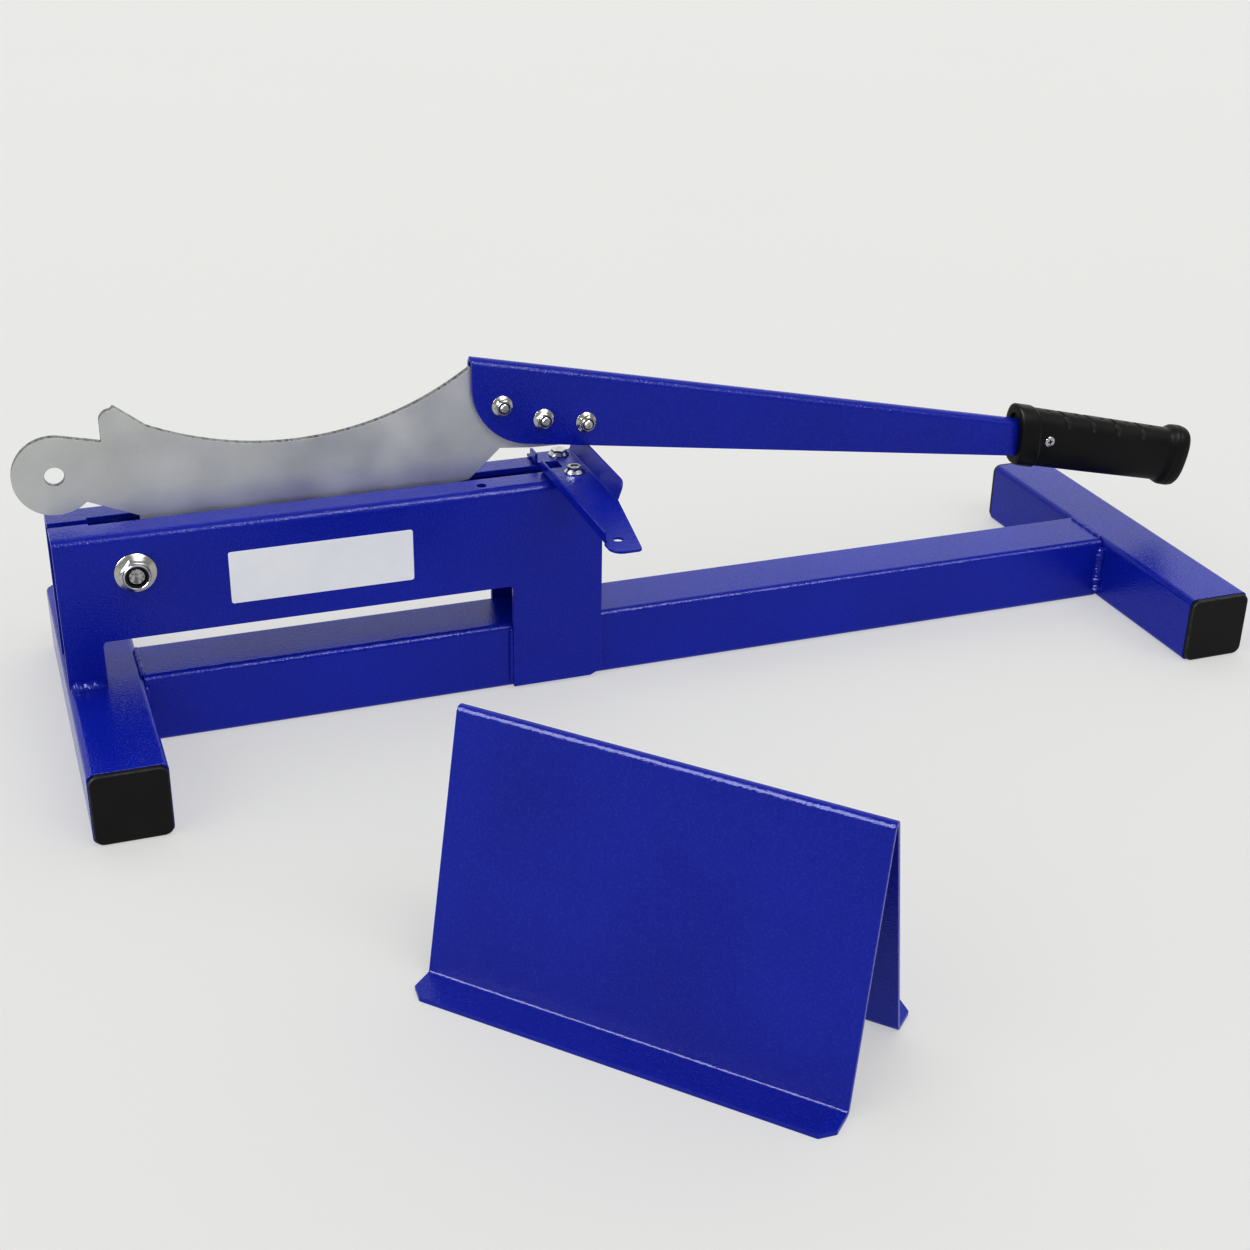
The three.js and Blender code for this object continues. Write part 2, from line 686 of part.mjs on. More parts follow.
// One closed skin over the sections
function gripSkin() {
  const sections = gripSections();
  const points = [];
  const faces = [];
  const oval = (value) => Math.sign(value) * Math.abs(value) ** (2 / gripSquareness);
  for (const { distance, height, width, tilt } of sections) {
    for (let step = 0; step < ringSteps; step += 1) {
      const angle = 2 * Math.PI * step / ringSteps;
      const rise = height * oval(Math.sin(angle));
      points.push(distance - rise * tilt, width * oval(Math.cos(angle)), rise);
    }
  }
  for (let ring = 1; ring < sections.length; ring += 1) {
    for (let step = 0; step < ringSteps; step += 1) {
      const next = (step + 1) % ringSteps;
      const a = (ring - 1) * ringSteps + step;
      const b = (ring - 1) * ringSteps + next;
      const c = ring * ringSteps + step;
      const d = ring * ringSteps + next;
      faces.push(a, b, d, a, d, c);
    }
  }
  const last = (sections.length - 1) * ringSteps;
  for (let step = 1; step < ringSteps - 1; step += 1) {
    faces.push(0, step + 1, step, last, last + step, last + step + 1);
  }
  const geometry = new THREE.BufferGeometry();
  geometry.setAttribute('position', new THREE.Float32BufferAttribute(points, 3));
  geometry.setIndex(faces);
  return geometry;
}

function addGrip() {
  const skin = gripSkin().rotateY(gripSlope * degrees).translate(gripStart, 0, gripRise);
  const across = leverHalf + cutOverrun;
  const boreSides = spread(leverOutline(seatGap), -across, across);
  const bore = common(leverFold(leverHalf + seatGap, 0).translate(0, 0, seatGap), boreSides);
  const screwPlace = alongGrip(gripScrewReach, gripScrewRise);
  const flat = -gripScrewSeat();
  const shankHole = crossRod(screwPlace.x, screwPlace.z, gripScrewRadius + boreGap, flat - cutOverrun, 0);
  const headHole = crossRod(screwPlace.x, screwPlace.z, gripScrewHeadRadius + boreGap, flat - cutOverrun, flat);
  place(swing, 'grip', cut(skin, bore, shankHole, headHole), blackRubber);
  const screw = new THREE.LatheGeometry([
    new THREE.Vector2(0, leverInnerHalf - gripScrewSeat()),
    new THREE.Vector2(gripScrewRadius, leverInnerHalf - gripScrewSeat()),
    new THREE.Vector2(gripScrewRadius, seatGap),
    new THREE.Vector2(gripScrewHeadRadius, seatGap),
    new THREE.Vector2(gripScrewHeadRadius, gripScrewHead / 2),
    new THREE.Vector2(gripScrewHeadRadius / 2, gripScrewHead),
    new THREE.Vector2(0, gripScrewHead),
  ], roundSteps).rotateX(Math.PI / 2);
  place(swing, 'grip_screw', facingFront(screw).translate(screwPlace.x, flat, screwPlace.z), brightZinc);
}

// The screw's head sits in a shallow counterbore, so its seat lies just under the grip's side
function gripScrewSeat() {
  const share = (gripScrewReach - gripCollarLength) / (gripLength - gripEndLength - gripCollarLength);
  const halfWidth = gripFrontHalfWidth + (gripBackHalfWidth - gripFrontHalfWidth) * share;
  return halfWidth - gripScrewHead / 2 - seatGap;
}

// The fence's plate seen from above
function fencePlate(left, right) {
  const leftRadius = fenceTipLeftRadius;
  const rightRadius = fenceTipRightRadius;
  const tipRight = left + fenceTipWidth - rightRadius;
  const shape = new THREE.Shape();
  shape.moveTo(left, fenceBack);
  shape.lineTo(left, leftRadius - fenceReach);
  shape.absarc(left + leftRadius, leftRadius - fenceReach, leftRadius, Math.PI, 3 * Math.PI / 2, false);
  shape.absarc(tipRight, rightRadius - fenceReach, rightRadius, 3 * Math.PI / 2, 2 * Math.PI, false);
  shape.lineTo(right, -fenceStopReach);
  shape.lineTo(right, fenceBack);
  shape.closePath();
  return shape;
}

// The right flange seen from the side, with round free corners
function fenceStopShape(top) {
  const radius = fenceStopCornerRadius;
  const shape = new THREE.Shape();
  shape.moveTo(-fenceStopReach, deckHeight);
  shape.lineTo(fenceBack, deckHeight);
  shape.absarc(fenceBack - radius, top - radius, radius, 0, Math.PI / 2, false);
  shape.absarc(radius - fenceStopReach, top - radius, radius, Math.PI / 2, Math.PI, false);
  shape.closePath();
  return shape;
}

function addFence() {
  const right = housingRight - fenceEndInset;
  const left = right - fenceWidth;
  const plateTop = deckHeight + fenceSheet;
  const stopTop = pivotHeight + leverBottomAt(right + fenceLean - pivotX) - seatGap;
  const plate = raised(fencePlate(left, right), deckHeight, plateTop);
  const guideTop = deckHeight + fenceGuideHeight;
  const guide = boxBetween(left, left + fenceSheet, -fenceGuideReach, fenceGuideBack, deckHeight, guideTop);
  const lean = new THREE.Matrix4().makeShear(0, 0, 0, 0, fenceLean / (stopTop - deckHeight), 0);
  const upright = run(fenceStopShape(stopTop), -fenceSheet, 0).translate(0, 0, -deckHeight);
  const stop = upright.applyMatrix4(lean).translate(right, 0, deckHeight);
  const above = stopTop + cutOverrun;
  const below = deckHeight - cutOverrun;
  const notchHalf = fenceNotchWidth / 2;
  const notch = boxBetween(left - cutOverrun, left + fenceNotchDepth, -notchHalf, notchHalf, below, above);
  const boltX = left + fenceBoltInset;
  const boltHole = (y) => uprightRod(boltX, y, fenceBoltRadius + boreGap, below, above);
  const tipHoleY = fenceTipHoleInset - fenceReach;
  const tipHole = uprightRod(left + fenceTipWidth / 2, tipHoleY, fenceTipHoleRadius, below, above);
  const blank = joined(plate, guide, stop);
  const fence = cut(blank, notch, boltHole(-fenceBoltOffset), boltHole(fenceBoltOffset), tipHole);
  place(model, 'fence', fence, bluePaint);
  for (const [end, side] of [['front', -1], ['back', 1]]) {
    const y = side * fenceBoltOffset;
    const shank = fenceSheet + housingSheet + smallNutHeight + smallTipLength;
    const flange = flangeCone(smallNutFlangeRadius, smallNutFlange, smallHeadFlats);
    const bolt = joined(smallBolt(fenceBoltRadius, shank), flange).translate(boltX, y, plateTop);
    place(model, `fence_bolt_${end}`, bolt, brightZinc);
    const nutBlank = raised(hexagon(smallNutFlats), -smallNutHeight, 0);
    const bore = uprightRod(0, 0, fenceBoltRadius + boreGap, -smallNutHeight - cutOverrun, cutOverrun);
    const nut = cut(nutBlank, bore).translate(boltX, y, deckHeight - housingSheet);
    place(model, `fence_nut_${end}`, nut, brightZinc);
  }
}

// The stand's section, drawn from the middle: one outside line up and over, one inside line back
function standSection() {
  const half = standSpan / 2;
  const lean = Math.atan2(half, standHeight);
  const sheet = standSheet;
  const ridge = standRidgeRadius;
  const inner = ridge - sheet;
  const centreHeight = standHeight - ridge;
  const section = new THREE.Shape();
  const bend = half + sheet / Math.cos(lean) - sheet * Math.tan(lean);
  section.moveTo(half + standFoot, 0);
  section.lineTo(half + standFoot, sheet);
  section.lineTo(bend, sheet);
  section.absarc(0, centreHeight, ridge, lean, Math.PI - lean, false);
  section.lineTo(-bend, sheet);
  section.lineTo(-half - standFoot, sheet);
  section.lineTo(-half - standFoot, 0);
  section.lineTo(-half, 0);
  section.absarc(0, centreHeight, inner, Math.PI - lean, lean, true);
  section.lineTo(half, 0);
  section.closePath();
  return section;
}

// What the stand keeps, seen from above: all but the corners of its feet. Each corner is drawn in one
// step, so it is a straight cut.
function standPlan() {
  const width = standSpan + 2 * standFoot;
  const shape = roundedRectangle(standLength, width, standFootChamfer);
  return raised(shape, -cutOverrun, standHeight + cutOverrun, 1);
}

function addStand() {
  const folded = run(standSection(), -standLength / 2, standLength / 2);
  const stand = common(folded, standPlan()).translate(standLength / 2, standSpan / 2, 0);
  const group = new THREE.Group();
  group.position.set(standOffsetX, standOffsetY, 0);
  group.rotation.z = standAngle * degrees;
  model.add(group);
  place(group, 'support_stand', stand, bluePaint);
}

addBase();
addHousing();
addPivot();
addKnife();
addLever();
addGrip();
addFence();
addStand();

export default model;
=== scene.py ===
"""Looks of the laminate cutter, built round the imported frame.

Sizes are in millimetres until a piece is made, and pieces are in metres in the frame that the CAD
model has: X runs along the base from the pivot end to the grip, Y away from the fence's free end
and Z up, with the origin under the middle of the beam. The camera looks from the front left.
"""

import logging
import math
from collections.abc import Callable, Iterable
from dataclasses import dataclass, field
from enum import Enum
from functools import cache
from typing import Protocol, Union

import bmesh
import bpy
from bmesh.types import BMEdge, BMFace, BMVert
from mathutils import Matrix, Vector, noise


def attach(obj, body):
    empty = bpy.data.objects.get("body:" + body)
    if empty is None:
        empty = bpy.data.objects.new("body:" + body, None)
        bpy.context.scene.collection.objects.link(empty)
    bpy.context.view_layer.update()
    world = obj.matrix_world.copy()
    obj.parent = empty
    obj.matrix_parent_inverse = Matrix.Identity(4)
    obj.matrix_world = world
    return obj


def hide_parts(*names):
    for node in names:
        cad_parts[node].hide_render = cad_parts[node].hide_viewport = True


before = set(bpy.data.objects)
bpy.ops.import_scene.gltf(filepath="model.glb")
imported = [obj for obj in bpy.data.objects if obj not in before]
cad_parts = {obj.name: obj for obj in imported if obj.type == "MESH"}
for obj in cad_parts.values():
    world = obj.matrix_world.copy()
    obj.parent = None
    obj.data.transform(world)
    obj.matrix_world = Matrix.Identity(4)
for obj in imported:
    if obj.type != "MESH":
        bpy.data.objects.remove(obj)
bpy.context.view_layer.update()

log = logging.getLogger("laminate_cutter")

Point = tuple[float, float]
Spot = tuple[float, float, float]
Colour = tuple[float, float, float]
Relief = tuple[float, float]      # strength, and depth in metres
Socket = bpy.types.NodeSocket
Material = bpy.types.Material
Fed = Union[Socket, float, Colour, tuple[float, float, float, float]]


def shift(x: float, y: float, z: float) -> Matrix:
    """The move to a place."""
    return Matrix.Translation((x, y, z))


def rotate(degrees: float, axis: str) -> Matrix:
    """A turn round one of the frame's axes."""
    return Matrix.Rotation(math.radians(degrees), 4, axis)


def polar(radius: float, turn: float) -> Point:
    """The place at a distance from the middle, turned against the clock by some radians."""
    return radius * math.cos(turn), radius * math.sin(turn)


METRES = Matrix.Scale(0.001, 4)
NEAR = 1e-4                       # closer than this, two places are the same
TOWARD_FRONT = rotate(90.0, "X")
TOWARD_BACK = rotate(-90.0, "X")
ENDS = (("front", -1.0, TOWARD_FRONT), ("back", 1.0, TOWARD_BACK))
UPRIGHT = Matrix.Identity(4)
ALONG = rotate(90.0, "Y")
RIM = "rim"                       # face attribute: 1 on rounded rims, where the finish wears
CHAMFER = math.tan(math.radians(30.0))
LIFT = 0.01                       # keeps what stands on the floor from sinking into it
FLANGE_EDGE = 0.025               # rounding of a flange's edge, of its radius
SQUARE = 60.0                     # an edge sharper than this, in degrees, is a square one
FACING = 0.9                      # a face whose normal has this much of an axis faces along it
SMALL_HOLE = 24                   # straight pieces round a hole for a small bolt


class Slot(Enum):
    """The record's material slots."""

    BLUE_PAINT = "blue_paint"
    ZINC_PLATE = "zinc_plate"
    BRIGHT_ZINC = "bright_zinc"
    BLACK_PLASTIC = "black_plastic"
    BLACK_GRIP = "black_grip"
    WHITE_LABEL = "white_label"


class Body(Enum):
    """The frame's bodies."""

    BASE = "base"
    SWING = "knife_and_lever"
    STAND = "stand"


class Section(Enum):
    """The shape of a ring on a turned piece."""

    ROUND = "round"
    HEXAGON = "hexagon"


@dataclass(frozen=True)
class Layout:
    """Places and sizes that several pieces share, in millimetres."""

    tube_side: float = 40.0
    foot_middle: float = 319.5
    tube_half: float = 114.0
    beam_half: float = 299.5
    housing_left: float = -338.5
    housing_right: float = -40.5
    wall_outside: float = 23.3
    wall_inside: float = 20.3
    deck_height: float = 125.3
    deck_sheet: float = 3.0
    pivot_reach: float = -298.3
    pivot_height: float = 103.6
    knife_half: float = 2.0
    lever_half: float = 4.8
    fence_left: float = -71.4
    fence_sheet: float = 1.5
    fence_bolt_reach: float = -54.4
    fence_bolt_offset: float = 14.2
    lever_bolts: tuple[Point, ...] = ((204.9, 63.0), (228.7, 52.9), (253.6, 48.4))

    def swing(self) -> Matrix:
        """Place of the pivot, which the knife and the lever are drawn from."""
        return shift(self.pivot_reach, 0.0, self.pivot_height)


LAYOUT = Layout()


# Finishes


class Graph:
    """One material's nodes, added one at a time and fed from values or other nodes."""

    def __init__(self, name: str) -> None:
        """Starts a material with its shader, its output and object coordinates.

        Args:
            name: The material's name.
        """
        self.material = bpy.data.materials.new(name)
        self.material.use_nodes = True
        self.tree = self.material.node_tree
        self.tree.nodes.clear()
        self.shader = self.add("ShaderNodeBsdfPrincipled")
        output = self.add("ShaderNodeOutputMaterial")
        self.tree.links.new(self.shader.outputs["BSDF"], output.inputs["Surface"])
        self.place = self.add("ShaderNodeTexCoord").outputs["Object"]

    def add(self, kind: str, settings: dict[str, object] | None = None,
            feeds: dict[str | int, Fed] | None = None) -> bpy.types.Node:
        """Adds a node.

        Args:
            kind: The node's type.
            settings: Its properties by name.
            feeds: What goes into its sockets, by name or number.

        Returns:
            The new node.
        """
        node = self.tree.nodes.new(kind)
        for name, value in (settings or {}).items():
            setattr(node, name, value)
        for name, value in (feeds or {}).items():
            self.feed(node.inputs[name], value)
        return node

    def feed(self, socket: Socket, value: Fed) -> None:
        """Links a socket to another, or sets its own value.

        Args:
            socket: The input.
            value: An output to link, or a plain value.
        """
        if isinstance(value, bpy.types.NodeSocket):
            self.tree.links.new(value, socket)
        elif isinstance(value, tuple) and socket.type == "RGBA" and len(value) == 3:
            socket.default_value = (*value, 1.0)
        else:
            socket.default_value = value

    def surface(self, feeds: dict[str, Fed]) -> None:
        """Feeds the shader's own sockets, by name."""
        for name, value in feeds.items():
            self.feed(self.shader.inputs[name], value)

    def noise(self, scale: float, detail: float = 2.0,
              stretch: Spot | None = None) -> Socket:
        """Adds a cloud pattern.

        Args:
            scale: Waves per metre.
            detail: Octaves.
            stretch: A scale for each axis, for a pattern drawn out one way.

        Returns:
            The pattern's value, from 0 to 1.
        """
        place = self.place
        if stretch is not None:
            stretched = {"Vector": place, "Scale": stretch}
            place = self.add("ShaderNodeMapping", None, stretched).outputs["Vector"]
        feeds = {"Vector": place, "Scale": scale, "Detail": detail}
        return self.add("ShaderNodeTexNoise", None, feeds).outputs["Fac"]

    def spread(self, value: Fed, low: float, high: float,
               start: float = 0.3, end: float = 0.7) -> Socket:
        """Stretches the part of a pattern from start to end to the range from low to high."""
        feeds = {"Value": value, "From Min": start, "From Max": end, "To Min": low, "To Max": high}
        return self.add("ShaderNodeMapRange", None, feeds).outputs["Result"]

    def mix(self, share: Fed, first: Fed, second: Fed) -> Socket:
        """Mixes two colours by a share of the second."""
        feeds = {0: share, 6: first, 7: second}
        return self.add("ShaderNodeMix", {"data_type": "RGBA"}, feeds).outputs[2]

    def times(self, first: Fed, second: Fed) -> Socket:
        """Multiplies two values."""
        return self.add("ShaderNodeMath", {"operation": "MULTIPLY"}, {0: first, 1: second}).outputs[0]

    def attribute(self, name: str) -> Socket:
        """Reads one of the piece's own attributes."""
        return self.add("ShaderNodeAttribute", {"attribute_name": name}).outputs["Fac"]

    def bump(self, height: Socket, relief: Relief, under: Socket | None = None) -> Socket:
        """Adds relief.

        Args:
            height: The pattern that stands out.
            relief: The share of it that shows, and its depth.
            under: Relief that this one lies on.

        Returns:
            The new normal.
        """
        feeds: dict[str | int, Fed] = {"Height": height, "Strength": relief[0], "Distance": relief[1]}
        if under is not None:
            feeds["Normal"] = under
        return self.add("ShaderNodeBump", None, feeds).outputs["Normal"]


class Finish(Protocol):
    """Anything that can make a material."""

    def make(self) -> Material:
        """Makes the material."""


@dataclass(frozen=True)
class PowderCoat:
    """Blue powder coat with an orange-peel grain and painted glints in lighter flecks, worn a little
    thinner on rims.
    """

    deep: Colour = (0.0030, 0.0165, 0.355)
    lively: Colour = (0.0040, 0.0215, 0.42)
    rubbed_and_glint: Colour = (0.030, 0.050, 0.50)
    most_fleck_glint: float = 0.40      # largest share of the lighter colour in the coat's flecks, which paint its glints
    most_wear: float = 0.55       # and on its rims
    clouds: float = 14.0          # waves per metre, as in every finish
    wear: float = 160.0
    grain: float = 850.0
    fleck: float = 950.0
    grain_relief: Relief = (0.48, 0.0005)
    fleck_relief: Relief = (0.15, 0.0001)
    roughness: Point = (0.10, 0.16)
    specular: float = 0.33

    def make(self) -> Material:
        """Makes the material.

        Returns:
            The new material.
        """
        graph = Graph("blue powder coat")
        clouds = graph.noise(self.clouds, 3.0)
        grain = graph.noise(self.grain)
        fleck = graph.noise(self.fleck, 1.0)
        colour = graph.mix(graph.spread(clouds, 0.0, 1.0), self.deep, self.lively)
        # painted glints: lighter flecks stand in for light sparkling off the orange peel
        colour = graph.mix(graph.spread(fleck, 0.0, self.most_fleck_glint, 0.5, 0.75), colour, self.rubbed_and_glint)
        patches = graph.spread(graph.noise(self.wear, 3.0), 0.0, self.most_wear, 0.4, 0.7)
        colour = graph.mix(graph.times(graph.attribute(RIM), patches), colour, self.rubbed_and_glint)
        graph.surface({
            "Base Color": colour,
            "Roughness": graph.spread(grain, *self.roughness),
            "Specular IOR Level": self.specular,
            "Normal": graph.bump(fleck, self.fleck_relief, graph.bump(grain, self.grain_relief)),
        })
        return graph.material


@dataclass(frozen=True)
class ZincPlate:
    """Dull zinc-grey plate with soft mottling and a fine speckle."""

    dark: Colour = (0.50, 0.51, 0.515)
    light: Colour = (0.60, 0.605, 0.60)
    tint: Colour = (0.54, 0.555, 0.52)
    clouds: float = 28.0
    tints: float = 70.0
    speckle: float = 1400.0
    rolled: Spot = (40.0, 300.0, 900.0)       # along each axis
    speckle_relief: Relief = (0.25, 0.0003)
    rolled_relief: Relief = (0.10, 0.0002)
    metal: float = 0.9
    roughness: Point = (0.42, 0.56)

    def make(self) -> Material:
        """Makes the material.

        Returns:
            The new material.
        """
        graph = Graph("zinc-grey plate")
        clouds = graph.noise(self.clouds, 4.0)
        speckle = graph.noise(self.speckle)
        rolled = graph.noise(1.0, 3.0, self.rolled)
        colour = graph.mix(graph.spread(clouds, 0.0, 1.0), self.dark, self.light)
        colour = graph.mix(graph.spread(graph.noise(self.tints), 0.0, 0.5), colour, self.tint)
        colour = graph.mix(graph.spread(speckle, 0.0, 0.45, 0.45, 0.75), colour, self.light)
        graph.surface({
            "Base Color": colour,
            "Metallic": self.metal,
            "Roughness": graph.spread(clouds, *self.roughness),
            "Normal": graph.bump(rolled, self.rolled_relief, graph.bump(speckle, self.speckle_relief)),
        })
        return graph.material


@dataclass(frozen=True)
class ShearedEdge:
    """Bare steel of a sheared or ground edge, bright with darker drag marks."""

    title: str = "sheared steel edge"
    bright: Colour = (0.20, 0.20, 0.20)
    dark: Colour = (0.04, 0.04, 0.042)
    drag: Spot = (520.0, 60.0, 520.0)         # along each axis
    patches: float = 90.0
    drag_relief: Relief = (0.35, 0.0002)
    roughness: Point = (0.22, 0.42)

    def make(self) -> Material:
        """Makes the material.

        Returns:
            The new material.
        """
        graph = Graph(self.title)
        drag = graph.noise(1.0, 3.0, self.drag)
        patches = graph.spread(graph.noise(self.patches, 3.0), 0.25, 1.0)
        share = graph.times(graph.spread(drag, 0.0, 1.0, 0.46, 0.62), patches)
        graph.surface({
            "Base Color": graph.mix(share, self.bright, self.dark),
            "Metallic": 1.0,
            "Roughness": graph.spread(drag, *self.roughness),
            "Normal": graph.bump(drag, self.drag_relief),
        })
        return graph.material


@dataclass(frozen=True)
class BrightZinc:
    """Bright zinc plating with faint yellow and blue tints and handling marks."""

    silver: Colour = (0.52, 0.52, 0.515)
    yellow: Colour = (0.42, 0.43, 0.31)
    blue: Colour = (0.33, 0.355, 0.42)
    tints: float = 210.0
    marks: float = 900.0
    marks_relief: Relief = (0.12, 0.0001)
    roughness: Point = (0.12, 0.26)

    def make(self) -> Material:
        """Makes the material.

        Returns:
            The new material.
        """
        graph = Graph("bright zinc plating")
        tints = graph.noise(self.tints, 3.0)
        marks = graph.noise(self.marks, 3.0)
        colour = graph.mix(graph.spread(tints, 0.0, 0.8, 0.45, 0.75), self.silver, self.yellow)
        graph.surface({
            "Base Color": graph.mix(graph.spread(tints, 0.5, 0.0, 0.25, 0.42), colour, self.blue),
            "Metallic": 1.0,
            "Roughness": graph.spread(marks, *self.roughness),
            "Normal": graph.bump(marks, self.marks_relief),
        })
        return graph.material


@dataclass(frozen=True)
class MouldedBlack:
    """Black moulded plastic or rubber with a fine matt skin."""

    name: str
    dark: Colour
    grey: Colour
    roughness: Point
    grain: float
    clouds: float = 45.0
    wear: float = 230.0
    worn: Colour = (0.06, 0.06, 0.062)
    grain_relief: Relief = (0.30, 0.0002)
    cloud_relief: Relief = (0.06, 0.0006)
    specular: float = 0.25

    def make(self) -> Material:
        """Makes the material.

        Returns:
            The new material.
        """
        graph = Graph(self.name)
        clouds = graph.noise(self.clouds, 3.0)
        colour = graph.mix(graph.spread(clouds, 0.0, 1.0), self.dark, self.grey)
        worn = graph.times(graph.attribute(RIM), graph.spread(graph.noise(self.wear, 3.0), 0.1, 0.8))
        relief = graph.bump(graph.noise(self.grain), self.grain_relief)
        graph.surface({
            "Base Color": graph.mix(worn, colour, self.worn),
            "Roughness": graph.spread(clouds, *self.roughness),
            "Specular IOR Level": self.specular,
            "Normal": graph.bump(clouds, self.cloud_relief, relief),
        })
        return graph.material


@dataclass(frozen=True)
class LabelFilm:
    """White adhesive film, blank, with a faint unevenness of the paint under it."""

    white: Colour = (0.90, 0.91, 0.93)
    shade: Colour = (0.84, 0.86, 0.90)
    clouds: float = 60.0
    peel: float = 420.0
    peel_relief: Relief = (0.08, 0.0002)
    roughness: Point = (0.30, 0.40)
    coat: Point = (0.3, 0.12)     # weight and roughness

    def make(self) -> Material:
        """Makes the material.

        Returns:
            The new material.
        """
        graph = Graph("white label film")
        clouds = graph.noise(self.clouds, 3.0)
        graph.surface({
            "Base Color": graph.mix(graph.spread(clouds, 0.0, 0.7), self.white, self.shade),
            "Roughness": graph.spread(clouds, *self.roughness),
            "Coat Weight": self.coat[0],
            "Coat Roughness": self.coat[1],
            "Normal": graph.bump(graph.noise(self.peel), self.peel_relief),
        })
        return graph.material


@dataclass(frozen=True)
class StudioFloor:
    """Matt pale floor of the studio, lit a little from below so that shadows on it stay faint."""

    pale: Colour = (0.30, 0.30, 0.295)
    shade: Colour = (0.297, 0.297, 0.292)
    clouds: float = 3.0
    glow: Colour = (1.0, 1.0, 0.985)
    glow_strength: float = 0.51
    roughness: float = 0.9
    specular: float = 0.1

    def make(self) -> Material:
        """Makes the material.

        Returns:
            The new material.
        """
        graph = Graph("studio floor")
        clouds = graph.spread(graph.noise(self.clouds), 0.0, 1.0)
        graph.surface({
            "Base Color": graph.mix(clouds, self.pale, self.shade),
            "Roughness": self.roughness,
            "Specular IOR Level": self.specular,
            "Emission Color": self.glow,
            "Emission Strength": self.glow_strength,
        })
        return graph.material


BLUE = PowderCoat()
PLATE = ZincPlate()
EDGE = ShearedEdge()
BOLT_END = ShearedEdge("cut bolt end", (0.50, 0.50, 0.49), (0.16, 0.16, 0.165))
ZINC = BrightZinc()
CAP = MouldedBlack("black cap plastic", (0.006, 0.006, 0.006), (0.010, 0.010, 0.010),
                   (0.37, 0.49), 900.0)
GRIP = MouldedBlack("black grip rubber", (0.003, 0.003, 0.0032), (0.005, 0.005, 0.0053),
                    (0.37, 0.49), 1300.0)
# its material also paints shade into the middle of the grip screw's cross recess
NYLON_AND_RECESS_SHADE = MouldedBlack("dark nylon and painted recess shade", (0.008, 0.010, 0.022), (0.012, 0.015, 0.035),
                     (0.29, 0.41), 900.0)
FILM = LabelFilm()
FLOOR = StudioFloor()


@cache
def material_of(finish: Finish) -> Material:
    """Makes a finish's material once, and gives the same one each time."""
    return finish.make()


# Stock and tools


@dataclass(frozen=True)
class Bend:
    """One fold of a flat sheet, along a line parallel to X."""

    at: float                     # where the bend starts, across the sheet
    side: int                     # 1 bends what lies beyond the line, -1 what lies before it
    angle: float                  # in degrees
    inner: float                  # radius inside the bend
    sheet: float
    up: bool = False
    span: Point | None = None     # the part along X that bends, or all of it
    steps: int = 6

    def length(self) -> float:
        """Length of sheet that the bend takes up, along its middle."""
        return math.radians(self.angle) * (self.inner + self.sheet / 2.0)


